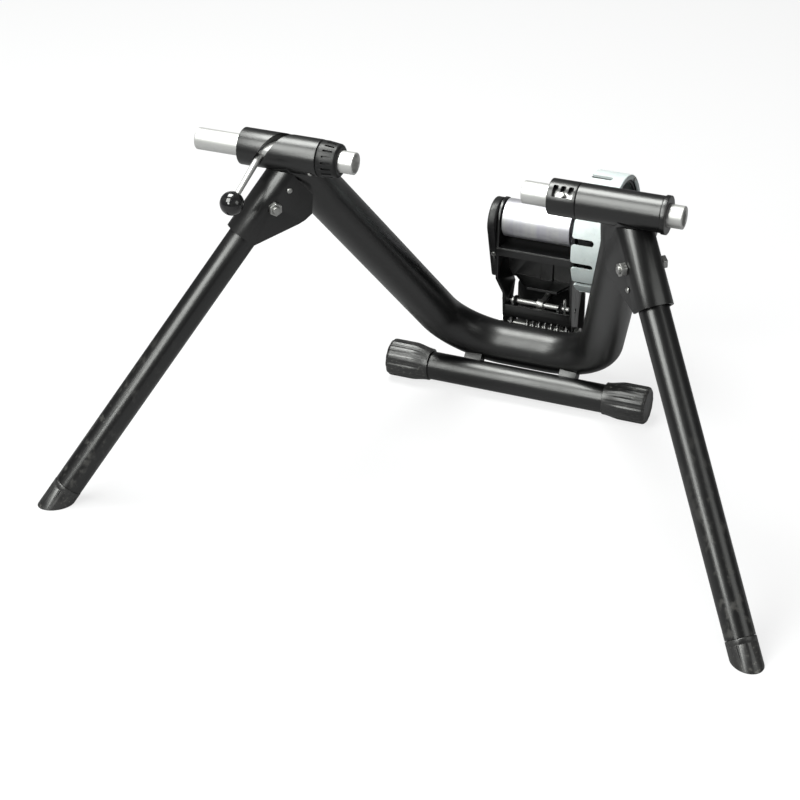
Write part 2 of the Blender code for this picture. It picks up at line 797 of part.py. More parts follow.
def left_adjuster_cap():
    """A collar with finger grooves on the sleeve's inner end."""
    start, end = LEFT_SLEEVE_INNER + GAP, ADJUSTER_CAP_INNER
    radius, bore = LEFT_SLEEVE_RADIUS - 0.0003, PIN_RADIUS + GAP
    made = turned(
        "left_adjuster_cap",
        [
            (start, radius),
            (start + 0.006, radius),
            (end - 0.002, radius - 0.0016),
            (end, radius - 0.0038),
            (end, bore),
            (start, bore),
        ],
        FINE,
        ALONG_AXLE,
    )
    grooves = []
    for i in range(ADJUSTER_GROOVES):
        angle = math.tau * (i + 0.5) / ADJUSTER_GROOVES
        outward = (around_axle(0, 1, angle) - AXLE).normalized()
        matrix = placed(AXLE, outward, (1, 0, 0))
        low = (start + 0.006, -0.0009, radius - 0.0028)
        grooves.append(box("groove", low, (end - 0.005, 0.0009, radius + 0.002), matrix))
    return cut(made, merged("grooves", grooves)), "black_plastic"


def left_cup_pin():
    face, start, edge = LEFT_PIN_FACE, LEFT_PIN_SPLIT + GAP, 0.001
    profile = [
        (start, 0),
        (start, PIN_RADIUS),
        (face - edge, PIN_RADIUS),
        (face, PIN_RADIUS - edge),
        (face, CUP_RADIUS),
        (face - CUP_DEPTH, CUP_RADIUS - 0.002),
        (face - CUP_DEPTH, 0),
    ]
    return turned("left_cup_pin", profile, ROUND, ALONG_AXLE, closed=False), "bright_steel"


def left_clamp_shaft():
    start, end, edge = LEFT_PIN_OUTER, LEFT_PIN_SPLIT, 0.0012
    profile = [(start, 0), (start, PIN_RADIUS - edge), (start + edge, PIN_RADIUS), (end, PIN_RADIUS), (end, 0)]
    return turned("left_clamp_shaft", profile, ROUND, ALONG_AXLE, closed=False), "bright_steel"


def lever_point(reach):
    return around_axle(LEVER_X, reach, LEVER_ANGLE)


def lever_rod(clearance=0.0):
    return rod(
        "clamp_lever",
        lever_point(PIN_RADIUS + GAP - clearance),
        lever_point(BALL_REACH - BALL_RADIUS * 0.3 + clearance),
        LEVER_TIP_RADIUS + clearance,
        SMALL,
        LEVER_ROOT_RADIUS + clearance,
    )


def clamp_lever():
    return lever_rod(), "bright_steel"


def lever_ball():
    direction = lever_point(1) - lever_point(0)
    flat = BALL_RADIUS * 0.94
    steps = arc((0, 0), BALL_RADIUS, 160, 0, 9)
    profile = [(-flat, 0)] + [(x, max(y, 0)) for x, y in steps[:-1]] + [(BALL_RADIUS, 0)]
    matrix = placed(lever_point(BALL_REACH), direction, (1, 0, 0))
    made = turned("lever_ball", profile, ROUND, matrix, closed=False)
    return cut(made, lever_rod(GAP)), "gloss_black"


def sleeve_set_screw():
    angle = math.radians(-42)
    start = around_axle(-0.1585, LEFT_SLEEVE_RADIUS + GAP, angle)
    outward = (start - AXLE - Vector((start.x, 0, 0))).normalized()
    profile = [(0, 0), (0, 0.0026), (0.0009, 0.0024), (0.0016, 0.0012), (0.0017, 0)]
    return turned("sleeve_set_screw", profile, SMALL, placed(start, outward, (1, 0, 0)), closed=False), "zinc"


# Opposite pin on the right

def stud_x():
    return (RIGHT_SLEEVE_INNER + RIGHT_SLEEVE_SEAM) / 2 + 0.0007


def notch_window():
    """A corridor along the collar with notches above it, cut through its wall at the stud's angle."""
    half = STUD_RADIUS + SLOT_CLEARANCE
    span = NOTCH_PITCH * (NOTCH_COUNT - 1) + NOTCH_WIDTH
    left = stud_x() - span / 2
    right = left + span
    outline = [(left, -half), (right, -half)]
    for i in range(NOTCH_COUNT):
        far = right - i * NOTCH_PITCH
        outline += [(far, half + 0.0065), (far - NOTCH_WIDTH, half + 0.0065)]
        if i < NOTCH_COUNT - 1:
            outline += [(far - NOTCH_WIDTH, half), (far - NOTCH_PITCH, half)]
    outward = (around_axle(0, 1, STUD_ANGLE) - AXLE).normalized()
    return prism("window", outline, PIN_RADIUS - 0.003, RIGHT_SLEEVE_RADIUS + 0.004, placed(AXLE, outward))


def right_notch_collar():
    radius, bore, edge = RIGHT_SLEEVE_RADIUS, PIN_RADIUS + GAP, 0.001
    made = turned(
        "right_notch_collar",
        [
            (RIGHT_SLEEVE_INNER, radius - edge),
            (RIGHT_SLEEVE_INNER + edge, radius),
            (RIGHT_SLEEVE_SEAM - GAP, radius),
            (RIGHT_SLEEVE_SEAM - GAP, bore),
            (RIGHT_SLEEVE_INNER, bore),
        ],
        FINE,
        ALONG_AXLE,
    )
    return cut(made, notch_window()), "black_paint"


def right_clamp_sleeve():
    radius, bore, lip = RIGHT_SLEEVE_RADIUS, PIN_RADIUS + GAP, 0.0012
    end = RIGHT_SLEEVE_OUTER
    profile = [
        (RIGHT_SLEEVE_SEAM, radius),
        (end - 0.0055, radius),
        (end - 0.005, radius + lip),
        (end - 0.0008, radius + lip),
        (end, radius + lip - 0.0008),
        (end, bore),
        (RIGHT_SLEEVE_SEAM, bore),
    ]
    return turned("right_clamp_sleeve", profile, FINE, ALONG_AXLE), "black_paint"


def right_axle_pin():
    """A tube with a cup at its inner end for the skewer's nut."""
    face, end, edge = RIGHT_PIN_FACE, RIGHT_PIN_OUTER, 0.001
    profile = [
        (face, PIN_RADIUS - edge),
        (face + edge, PIN_RADIUS),
        (end - edge, PIN_RADIUS),
        (end, PIN_RADIUS - edge),
        (end, PIN_BORE),
        (face + CUP_DEPTH, PIN_BORE),
        (face, CUP_RADIUS),
    ]
    return turned("right_axle_pin", profile, ROUND, ALONG_AXLE), "bright_steel"


def right_guide_stud():
    start = around_axle(stud_x(), PIN_RADIUS + GAP, STUD_ANGLE)
    end = around_axle(stud_x(), RIGHT_SLEEVE_RADIUS + 0.0015, STUD_ANGLE)
    return rod("right_guide_stud", start, end, STUD_RADIUS, 12), "bright_steel"


# Roller unit: the mount on the frame

def across(y, z, first, last, radius, name="hole", count=ROUND):
    """A round bar along X through (y, z)."""
    return rod(name, (first, y, z), (last, y, z), radius, count)


def unit_mount():
    """Two ears for the hinge pin on a plate behind the frame tube, and a wide rear wall for the screw."""
    half = SHEET / 2
    ear = [(HINGE_Y - 0.032, PLATE_Z + 0.0025), (HINGE_Y - 0.008, PLATE_Z + 0.001)]
    ear += arc((HINGE_Y, HINGE_Z), EAR_RADIUS, -70, 110, 8)
    ear += [(HINGE_Y - 0.0095, HINGE_Z + 0.0032), (HINGE_Y - 0.034, HINGE_Z + 0.0005)]
    front, back = HINGE_Y - 0.030, WALL_Y - SHEET / 4
    made = box("unit_mount", (-MOUNT_EAR_X, front, PLATE_Z), (MOUNT_EAR_X, back, PLATE_Z + SHEET))
    for side in SIDES.values():
        middle = side * MOUNT_EAR_X
        join(made, prism("ear", ear, middle - half, middle + half, ACROSS_UNIT))
    face = [(-WALL_LEFT, WALL_LOW), (WALL_RIGHT, WALL_LOW)]
    face += arc((WALL_RIGHT - WALL_CORNER, WALL_TOP - WALL_CORNER), WALL_CORNER, 0, 90, 4)
    face += arc((WALL_CORNER - WALL_LEFT, WALL_TOP - WALL_CORNER), WALL_CORNER, 90, 180, 4)
    matrix = placed((0, WALL_Y, 0), (0, -1, 0))
    join(made, prism("wall", face, 0, SHEET, matrix))
    pin = across(HINGE_Y, HINGE_Z, -BEYOND, BEYOND, HINGE_RADIUS + GAP)
    screw = rod("hole", (0, WALL_Y - 0.02, ROD_Z), (0, WALL_Y + 0.02, ROD_Z), SCREW_RADIUS + 0.0012)
    return cut(made, frame_cutter(), pin, screw), "black_paint"


def hinge_pin():
    face = BRACKET_EAR_X + SHEET / 2 + GAP
    start = HINGE_CENTRE - Vector((face, 0, 0))
    return bolt("hinge_pin", start, (1, 0, 0), 2 * face + 0.0075, HINGE_RADIUS, 0.016, 0.0055), "zinc"


def hinge_nut():
    start = HINGE_CENTRE + Vector((BRACKET_EAR_X + SHEET / 2 + GAP, 0, 0))
    return hexagon("hinge_nut", start, (1, 0, 0), 0.016, 0.006, HINGE_RADIUS + GAP), "zinc"


def hinge_spring():
    """A torsion spring round the hinge pin: one leg stands on the plate, the other leans at the web."""
    turns = SPRING_COILS + 0.25
    steps = 10
    start = -SPRING_PITCH * turns / 2 + SPRING_SHIFT
    foot = PLATE_Z + SHEET + GAP
    points = [(start, HINGE_Y + SPRING_RADIUS, foot), (start, HINGE_Y + SPRING_RADIUS, foot + 2 * SPRING_WIRE)]
    for i in range(round(turns * steps) + 1):
        angle = math.tau * i / steps
        angle = min(angle, math.tau * turns)
        points.append(
            (
                start + SPRING_PITCH * angle / math.tau,
                HINGE_Y + SPRING_RADIUS * math.cos(angle),
                HINGE_Z + SPRING_RADIUS * math.sin(angle),
            )
        )
    end = points[-1]
    points.append((end[0], WEB_Y + SHEET / 2 + 0.0014 + 2 * SPRING_WIRE, end[2]))
    points.append((end[0], WEB_Y + SHEET / 2 + 0.0014, end[2]))
    least = min(
        math.dist(points[i], points[j])
        for i in range(len(points))
        for j in range(i + 6, len(points))
    )
    print(f"hinge_spring: least gap to itself {(least - 2 * SPRING_WIRE) * 1000:.2f} mm")
    return wire("hinge_spring", points, SPRING_WIRE), "spring_steel"


# Roller unit: the swinging bracket

def side_profile():
    """The bracket's outline from the side: an arch round the shaft, narrowing to the hinge's ear."""
    outline = arc((HINGE_Y, HINGE_Z), EAR_RADIUS, 180, 360, 8)
    outline += [(HINGE_Y + 0.014, HINGE_Z + 0.021), (HINGE_Y + 0.030, HINGE_Z + 0.068)]
    outline += [(ROLLER_Y + CHEEK_RADIUS, ROLLER_Z - 0.01)]
    outline += arc((ROLLER_Y, ROLLER_Z), CHEEK_RADIUS, 0, 180, 10)
    outline += [(HINGE_Y - 0.017, HINGE_Z + 0.068), (HINGE_Y - 0.0155, HINGE_Z + 0.037)]
    return prism("side_profile", outline, -BEYOND, BEYOND, ACROSS_UNIT)


def front_sheet(name, middle_line):
    """A sheet seen edge on from the front, as deep as the bracket."""
    matrix = placed((0, ROLLER_Y, 0), (0, -1, 0))
    return prism(name, sheet_outline(middle_line, SHEET), -BEYOND, BEYOND, matrix)


def swing_bracket():
    half = SHEET / 2
    low, high = HINGE_Z - 0.015, ROLLER_Z + 0.03
    joggled = [
        (-BRACKET_EAR_X, low),
        (-BRACKET_EAR_X, JOGGLE_Z),
        (CHEEK_X, JOGGLE_Z + JOGGLE_RISE),
        (CHEEK_X, high),
    ]
    made = keep(front_sheet("swing_bracket", joggled), side_profile())
    right = keep(front_sheet("cheek", [(BRACKET_EAR_X, low), (BRACKET_EAR_X, high)]), side_profile())
    panel = box("panel", (CHEEK_X, PANEL_Y - half, SHELF_Z - half), (BRACKET_EAR_X, PANEL_Y + half, PANEL_TOP))
    join(made, panel, right)
    join(made, box("web", (-BRACKET_EAR_X, WEB_Y - half, WEB_LOW), (BRACKET_EAR_X, WEB_Y + half, WEB_TOP)))
    front = PANEL_Y - LIP_DEPTH
    join(made, box("lip", (CHEEK_X, front, LIP_Z - half), (BRACKET_EAR_X, PANEL_Y + 0.0004, LIP_Z + half)))
    low, high = (CHEEK_X, front - 0.002, LIP_Z - LIP_DROP), (BRACKET_EAR_X, front + half, LIP_Z + half - 0.0004)
    join(made, box("lip_edge", low, high))
    join(made, box("rib", (RIB_X[0], PANEL_Y - 0.005, SHELF_Z), (RIB_X[1], PANEL_Y - 0.001, LIP_Z)))
    shelf = []
    for ends, depth, rise in ((SHELF_ROOT, 0, 0.0002), (SHELF_TIP, SHELF_DEPTH, 0.0008)):
        y, z = PANEL_Y - depth, SHELF_Z + rise
        row = [Vector((x, y, z - half)) for x in ends]
        shelf.append(row + [Vector((x, y, z + half)) for x in ends[::-1]])
    join(made, solid("shelf", shelf))
    ear = [(WEB_Y, WEB_LOW + 0.003), (HINGE_Y + 0.004, WEB_LOW + 0.003)]
    ear += arc((HINGE_Y, ROD_Z), 0.0065, -30, 110, 6) + [(WEB_Y, ROD_Z + 0.0015)]
    for x in (CLEVIS_LEFT, CLEVIS_RIGHT):
        join(made, prism("clevis", ear, x - half, x + half, ACROSS_UNIT))
    pin = across(HINGE_Y, HINGE_Z, -BEYOND, BEYOND, HINGE_RADIUS + GAP)
    rod_hole = across(HINGE_Y, ROD_Z, -BEYOND, BEYOND, ROD_RADIUS + GAP)
    shaft = across(ROLLER_Y, ROLLER_Z, -BEYOND, BEYOND, BEARING_RADIUS - 0.002)
    return cut(made, pin, rod_hole, shaft), "black_paint"


def bearing_bore(first, last):
    return across(ROLLER_Y, ROLLER_Z, first, last, BEARING_RADIUS + GAP, count=24)


def left_bearing_block():
    """A thick arched end plate on the left cheek."""
    inner = CHEEK_X - SHEET / 2 - GAP
    outline = arc((ROLLER_Y - 0.004, ROLLER_Z - 0.003), BLOCK_RADIUS, -8, 180, 14)
    outline += [(ROLLER_Y + y, ROLLER_Z + z) for y, z in BLOCK_FRONT]
    front, back = BLOCK_FOOT
    outline += arc((ROLLER_Y + front, ROLLER_Z - BLOCK_DROP), BLOCK_CORNER, 216, 270, 3)
    outline += arc((ROLLER_Y + back, ROLLER_Z - BLOCK_DROP), BLOCK_CORNER, 270, 350, 3)
    made = prism("left_bearing_block", outline, BLOCK_OUTER, inner, ACROSS_UNIT)
    bevelled(made, 0.0018, 2, 60)
    start, out = block_screw_line()
    screw = rod("hole", start - out * 0.009, start + out * 0.01, 0.0019, 12)
    return cut(made, bearing_bore(BLOCK_OUTER - 0.01, inner + 0.01), screw), "black_plastic"


def block_screw_line():
    """Where the block's screw meets its sloping front edge, and the way out of it."""
    top, foot = (Vector((0, ROLLER_Y + y, ROLLER_Z + z)) for y, z in BLOCK_FRONT)
    along = (foot - top).normalized()
    return top.lerp(foot, 0.53) + Vector((BLOCK_SCREW_X, 0, 0)), Vector((0, along.z, -along.y))


def block_screw():
    start, out = block_screw_line()
    head = rod("block_screw", start + out * GAP, start + out * 0.002, 0.0028, 12, 0.0034)
    shank = rod("shank", start + out * 0.001, start - out * 0.0085, 0.0016, 12)
    return join(head, shank), "zinc"


def right_bearing_hub():
    inner = BRACKET_EAR_X + SHEET / 2 + GAP
    profile = [
        (inner, HUB_RADIUS),
        (HUB_OUTER, HUB_RADIUS),
        (HUB_OUTER, BEARING_RADIUS + GAP),
        (inner, BEARING_RADIUS + GAP),
    ]
    return turned("right_bearing_hub", profile, ROUND, ALONG_ROLLER), "grey_plastic"


def bearing(word, first, last):
    inner = SHAFT_RADIUS + GAP
    profile = [(first, BEARING_RADIUS), (last, BEARING_RADIUS), (last, inner), (first, inner)]
    return turned(word + "_bearing", profile, ROUND, ALONG_ROLLER), "bright_steel"


def fan_backplate():
    """A disc on the hub's end, whose rim the housing's lugs grip."""
    rim, bore = DRUM_RADIUS - DRUM_WALL - GAP, SHAFT_RADIUS + 0.001
    first, last = DRUM_LEFT, DRUM_LEFT + SHEET
    profile = [(first, rim), (last, rim), (last, bore), (first, bore)]
    return turned("fan_backplate", profile, FINE, ALONG_ROLLER), "black_plastic"


def lug_slots():
    """Gaps between the lugs, open to the left, with rounded mouths and round ends."""
    half, mouth, end = LUG_GAP / 2, 0.0035, DRUM_LEFT + LUG_LENGTH - LUG_GAP / 2
    lower = [(DRUM_LEFT - 0.001, -half - mouth), (DRUM_LEFT, -half - mouth)]
    lower += arc((DRUM_LEFT + mouth, -half - mouth), mouth, 180, 90, 3)[1:]
    tip = arc((end, 0), half, -90, 90, 6)
    upper = [(x, -y) for x, y in lower[::-1]]
    slots = []
    for i in range(LUG_COUNT):
        angle = LUG_PHASE + math.tau * (i + 0.5) / LUG_COUNT
        outward = (0, math.cos(angle), math.sin(angle))
        matrix = placed(ROLLER_CENTRE, outward, (1, 0, 0))
        slots.append(prism("slot", lower + tip + upper, DRUM_RADIUS - 0.006, DRUM_RADIUS + 0.003, matrix))
    return merged("slots", slots)


def fan_housing():
    """A drum round the fan, whose lugs grip the back plate, with an inward rim at the intake."""
    inner, rim = DRUM_RADIUS - DRUM_WALL, DRUM_RADIUS - DRUM_RIM
    edge = 0.001
    profile = [
        (DRUM_LEFT, DRUM_RADIUS),
        (DRUM_RIGHT - edge, DRUM_RADIUS),
        (DRUM_RIGHT, DRUM_RADIUS - edge),
        (DRUM_RIGHT, rim),
        (DRUM_RIGHT - DRUM_WALL, rim),
        (DRUM_RIGHT - DRUM_WALL, inner),
        (DRUM_LEFT, inner),
    ]
    made = cut(turned("fan_housing", profile, 3 * LUG_COUNT, ALONG_ROLLER), lug_slots())
    for place in rim_screw_places():
        cut(made, rod("hole", place - Vector((0.01, 0, 0)), place + Vector((0.01, 0, 0)), 0.0016 + GAP, 12))
    return made, "grey_plastic"


def rim_screw_places():
    """On the intake rim, a third of a turn apart."""
    radius = DRUM_RADIUS - DRUM_RIM / 2 - 0.0014
    places = []
    for i in range(3):
        angle = LUG_PHASE + math.tau * i / 3
        offset = Vector((DRUM_RIGHT, radius * math.cos(angle), radius * math.sin(angle)))
        places.append(ROLLER_CENTRE + offset)
    return places


def housing_screw(index):
    place = rim_screw_places()[index]
    start = place + Vector((GAP, 0, 0))
    head = rod(f"housing_screw_{index + 1}", start, start + Vector((0.0018, 0, 0)), 0.0024, 12, 0.003)
    shank = rod("shank", start + Vector((0.0009, 0, 0)), place - Vector((0.0065, 0, 0)), 0.0016, 12)
    return join(head, shank), "zinc"


def intake_grille():
    """Three rings on six spokes, behind the rim."""
    last = DRUM_RIGHT - DRUM_WALL - GAP
    first = last - 0.0026
    outer = DRUM_RADIUS - DRUM_WALL - GAP

    def ring(big, small):
        profile = [(first, big), (last, big), (last, small), (first, small)]
        return turned("intake_grille", profile, ROUND, ALONG_ROLLER)

    made = ring(outer, outer - 0.0065)
    spokes = []
    for i in range(6):
        angle = math.tau * (i + 0.5) / 6
        outward = (0, math.cos(angle), math.sin(angle))
        low = (first + 0.0004, -0.0016, 0.017)
        high = (last - 0.0004, 0.0016, outer - 0.003)
        spokes.append(box("spoke", low, high, placed(ROLLER_CENTRE, outward, (1, 0, 0))))
    join(made, merged("spokes", spokes), ring(0.044, 0.040), ring(0.021, 0.015))
    for place in rim_screw_places():
        cut(made, rod("hole", place - Vector((0.01, 0, 0)), place + Vector((0.01, 0, 0)), 0.0016 + GAP, 12))
    return made, "black_plastic"


def cross_rod():
    start = CLEVIS_LEFT - SHEET / 2 - GAP
    profile = [
        (ROD_TAIL, 0),
        (ROD_TAIL, TAIL_RADIUS - 0.0004),
        (ROD_TAIL + 0.0004, TAIL_RADIUS),
        (start - 0.003, TAIL_RADIUS),
        (start - 0.003, 0.0042),
        (start - 0.0024, 0.005),
        (start, 0.005),
        (start, ROD_RADIUS),
        (ROD_END - 0.0008, ROD_RADIUS),
        (ROD_END, ROD_RADIUS - 0.0008),
        (ROD_END, 0),
    ]
    made = turned("cross_rod", profile, 20, placed((0, HINGE_Y, ROD_Z), (1, 0, 0), (0, 1, 0)), closed=False)
    clip_x = ROD_END - 0.005
    hole = rod("hole", (clip_x, HINGE_Y, ROD_Z - 0.01), (clip_x, HINGE_Y, ROD_Z + 0.01), CLIP_WIRE + GAP, 10)
    return cut(made, hole), "bright_steel"


def cross_rod_clip():
    """A hairpin clip: its straight leg goes through the rod and its waved leg lies against it."""
    x = ROD_END - 0.005
    outside = HINGE_Y - ROD_RADIUS - CLIP_WIRE - GAP
    points = [(x, HINGE_Y, ROD_Z - 0.010), (x, HINGE_Y, ROD_Z + 0.009)]
    loop = arc((HINGE_Y - 0.0035, ROD_Z + 0.0105), 0.0035, 0, 200, 8)
    points += [(x, y, z) for y, z in loop]
    points += [
        (x, outside - 0.0002, ROD_Z + 0.005),
        (x, outside, ROD_Z),
        (x, outside + 0.0012, ROD_Z - 0.005),
        (x, outside - 0.0012, ROD_Z - 0.009),
    ]
    return wire("cross_rod_clip", points, CLIP_WIRE), "bright_steel"


# Roller unit: the roller, its shaft and the fan

def roller():
    """A drum with a turned recess in each end."""
    edge, bore, depth = 0.0012, SHAFT_RADIUS + GAP, 0.009
    small, big = 0.011, ROLLER_RADIUS - 0.004
    first, last = ROLLER_LEFT, ROLLER_RIGHT
    profile = [
        (first, big),
        (first, ROLLER_RADIUS - edge),
        (first + edge, ROLLER_RADIUS),
        (last - edge, ROLLER_RADIUS),
        (last, ROLLER_RADIUS - edge),
        (last, big),
        (last - depth, big - 0.001),
        (last - depth, small),
        (last, small),
        (last, bore),
        (first, bore),
        (first, small),
        (first + depth, small),
        (first + depth, big - 0.001),
    ]
    return turned("roller", profile, FINE, ALONG_ROLLER), "bright_steel"


def roller_shaft():
    first, shoulder, last = BLOCK_OUTER + 0.0006, FAN_HUB_END, FAN_HUB_END + 0.0052
    thread = SHAFT_RADIUS - 0.002
    profile = [
        (first, 0),
        (first, SHAFT_RADIUS - 0.0006),
        (first + 0.0006, SHAFT_RADIUS),
        (shoulder, SHAFT_RADIUS),
        (shoulder, thread),
        (last, thread),
        (last, 0),
    ]
    return turned("roller_shaft", profile, ROUND, ALONG_ROLLER, closed=False), "bright_steel"


def impeller():
    """A disc with curved blades on its intake side, open at its edge."""
    first = DRUM_LEFT + SHEET + 0.002
    bore, hub, face = SHAFT_RADIUS + GAP, 0.013, first + 0.002
    profile = [
        (first, BLADE_OUTER),
        (face, BLADE_OUTER),
        (face, hub + 0.004),
        (face + 0.004, hub),
        (FAN_HUB_END, hub - 0.001),
        (FAN_HUB_END, bore),
        (first, bore),
    ]
    made = turned("impeller", profile, FINE, ALONG_ROLLER)
    matrix = placed(ROLLER_CENTRE, (1, 0, 0), (0, 1, 0))
    blades = []
    for i in range(BLADE_COUNT):
        start = math.tau * i / BLADE_COUNT
        line = []
        for step in range(4):
            share = step / 3
            radius = BLADE_INNER + (BLADE_OUTER - 0.001 - BLADE_INNER) * share
            angle = start - math.radians(34) * share**1.4
            line.append((radius * math.cos(angle), radius * math.sin(angle)))
        outline = sheet_outline(line, BLADE_THICKNESS)
        blades.append(prism("blade", outline, face - 0.001, DRUM_LEFT + LUG_LENGTH - 0.001, matrix))
    return join(made, merged("blades", blades)), "black_plastic"


def impeller_nut():
    start = ROLLER_CENTRE + Vector((FAN_HUB_END + GAP, 0, 0))
    return hexagon("impeller_nut", start, (1, 0, 0), 0.011, 0.0042, SHAFT_RADIUS - 0.002 + GAP), "zinc"


# Roller unit: the screw that sets the roller against the tyre

def adjuster_screw():
    """An eye round the cross rod and a shank that runs back through the mount's upright."""
    half, outer, bore = 0.004, 0.0065, ROD_RADIUS + GAP
    profile = [(-half, outer), (half, outer), (half, bore), (-half, bore)]
    made = turned("adjuster_screw", profile, 24, placed((0, HINGE_Y, ROD_Z), (1, 0, 0), (0, 1, 0)))
    start, end = HINGE_Y + outer - 0.0015, WALL_Y + KNOB_DEPTH + 0.006
    return join(made, rod("shank", (0, start, ROD_Z), (0, end, ROD_Z), SCREW_RADIUS - 0.0003)), "zinc"


def adjuster_knob():
    """A lobed hand knob, turning on the screw against the back of the upright."""
    start, end, bore = WALL_Y + GAP, WALL_Y + KNOB_DEPTH, SCREW_RADIUS + GAP
    count = KNOB_LOBES * 6

    def lobed(radius, place, depth):
        ring = []
        for i in range(count):
            angle = math.tau * i / count
            reach = radius - depth * (0.5 - 0.5 * math.cos(KNOB_LOBES * angle))
            ring.append(Vector((reach * math.cos(angle), reach * math.sin(angle), place)))
        return ring

    rings = [
        circle(bore, start, count),
        circle(0.009, start, count),
        circle(0.009, start + 0.005, count),
        lobed(KNOB_RADIUS - 0.001, start + 0.006, 0.002),
        lobed(KNOB_RADIUS, start + 0.0075, 0.0025),
        lobed(KNOB_RADIUS, end - 0.003, 0.0025),
        lobed(KNOB_RADIUS - 0.003, end, 0.002),
        circle(bore, end, count),
    ]
    matrix = placed((0, 0, ROD_Z), (0, 1, 0), (1, 0, 0))
    return solid("adjuster_knob", rings, matrix, closed=True), "black_plastic"


# Assembly

def pivot(name, place, parent=None):
    """An empty on a joint's axis, which carries the pieces that move together."""
    empty = bpy.data.objects.new(name, None)
    empty.empty_display_size = 0.03
    bpy.context.scene.collection.objects.link(empty)
    empty.parent = parent
    empty.location = Vector(place) - (parent.matrix_world.translation if parent else Vector())
    bpy.context.view_layer.update()
    return empty


def carry(empty, *made):
    """Gives pieces their materials and hangs them on a body, where they are."""
    for obj, look in made:
        obj.data.materials.clear()
        obj.data.materials.append(material(look))
        if obj.type == "MESH":
            obj.data.shade_smooth()
            obj.data.set_sharp_from_angle(angle=math.radians(35))
        obj.parent = empty
        obj.matrix_parent_inverse = empty.matrix_world.inverted()


def build():
    for obj in list(bpy.data.objects):
        bpy.data.objects.remove(obj)
    stance = pivot("trainer", (0, 0, 0))
    carry(stance, main_frame(), foot_crossbar(), left_clamp_sleeve(), right_clamp_sleeve())
    carry(stance, right_notch_collar(), sleeve_set_screw(), unit_mount(), hinge_pin(), hinge_nut())
    carry(stance, hinge_spring())
    for word, side in SIDES.items():
        carry(stance, foot_spacer(word, side), foot_bolt(word, side), foot_cap(word, side))
        carry(stance, leg_bracket(word, side), pivot_bolt(word, side), pivot_nut(word, side))
        carry(stance, stop_rivet(word, side, RIVET_PLACES[word]))
        leg = pivot(word + "_leg", (side * PIVOT.x, PIVOT.y, PIVOT.z), stance)
        carry(leg, leg_tube(word, side), leg_foot(word, side))

    carry(pivot("adjuster_collar", AXLE + Vector((LEFT_SLEEVE_INNER, 0, 0)), stance), left_adjuster_cap())
    clamp = pivot("left_clamp", AXLE + Vector((LEFT_PIN_SPLIT, 0, 0)), stance)
    carry(clamp, left_cup_pin())
    turning = pivot("clamp_turn", AXLE + Vector((LEVER_X, 0, 0)), clamp)
    carry(turning, left_clamp_shaft(), clamp_lever(), lever_ball())
    opposite = pivot("right_pin", AXLE + Vector((stud_x(), 0, 0)), stance)
    carry(opposite, right_axle_pin(), right_guide_stud())

    swing = pivot("roller_swing", HINGE_CENTRE, stance)
    carry(swing, swing_bracket(), left_bearing_block(), block_screw(), right_bearing_hub())
    carry(swing, bearing("left", BLOCK_OUTER + 0.001, CHEEK_X - 0.002))
    carry(swing, bearing("right", BRACKET_EAR_X + 0.0028, HUB_OUTER - 0.001))
    carry(swing, fan_housing(), fan_backplate(), intake_grille(), cross_rod(), cross_rod_clip())
    carry(swing, *(housing_screw(i) for i in range(3)))
    spinning = pivot("roller_spin", ROLLER_CENTRE, swing)
    carry(spinning, roller(), roller_shaft(), impeller(), impeller_nut())
    carry(pivot("screw_tilt", (0, HINGE_Y, ROD_Z), swing), adjuster_screw())
    carry(pivot("knob_turn", (0, WALL_Y, ROD_Z), stance), adjuster_knob())
    stance.location = (0, AXLE_Y, -FLOOR)
    bpy.context.view_layer.update()


build()
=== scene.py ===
"""Looks for the folding wind trainer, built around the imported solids.

It makes finer stand-ins for 30 nodes, rounds the edges of the rest, and sets the materials, the floor,
the lights and the camera.

The pieces are built in the frame of the part's own sizes, in metres, with the axle line at y = 0, and
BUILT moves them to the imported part's frame. Places along the axle or the roller are given as x.
"""

import json
import math

import bmesh
import bpy
from mathutils import Matrix, Vector


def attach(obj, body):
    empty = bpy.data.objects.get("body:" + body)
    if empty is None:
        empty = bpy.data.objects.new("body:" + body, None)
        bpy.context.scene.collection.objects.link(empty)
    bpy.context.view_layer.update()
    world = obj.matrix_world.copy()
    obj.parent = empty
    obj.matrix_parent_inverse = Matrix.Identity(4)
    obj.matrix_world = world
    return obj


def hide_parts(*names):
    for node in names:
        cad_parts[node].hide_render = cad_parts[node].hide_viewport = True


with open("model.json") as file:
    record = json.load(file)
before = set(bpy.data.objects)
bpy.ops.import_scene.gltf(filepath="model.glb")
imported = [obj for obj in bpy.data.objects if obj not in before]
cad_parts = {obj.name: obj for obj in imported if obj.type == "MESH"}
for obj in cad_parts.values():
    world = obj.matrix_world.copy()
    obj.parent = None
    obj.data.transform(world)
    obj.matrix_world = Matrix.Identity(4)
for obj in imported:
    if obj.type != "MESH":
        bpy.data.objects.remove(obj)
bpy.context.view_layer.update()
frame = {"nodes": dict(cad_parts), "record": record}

BUILT = Matrix.Translation((0, -0.081, -0.003))
FLOOR = 0.003
AXLE = Vector((0, 0, 0.376))
GAP = 0.0003

# How far a cutter reaches past what it cuts
OVERCUT = 0.002

# Points round a large and a smaller turned piece
FINE = 96
ROUND = 64

# A rounded corner takes less than half of the shorter edge beside it
CORNER_ROOM = 2.1

RECORD = frame["record"]
BODY_OF = {node: body for body, nodes in RECORD["behaviour"]["bodies"].items() for node in nodes}
SLOT_OF = {part["node"]: part["material_slot"] for part in RECORD["subparts"]}


# Materials

# A Mix node keeps its colour sockets at these places
MIX_FIRST, MIX_SECOND, MIX_RESULT = 6, 7, 2


def put(node, **inputs):
    """Sets a node's inputs by name, with _ for each space."""
    for key, value in inputs.items():
        node.inputs[key.replace("_", " ")].default_value = value


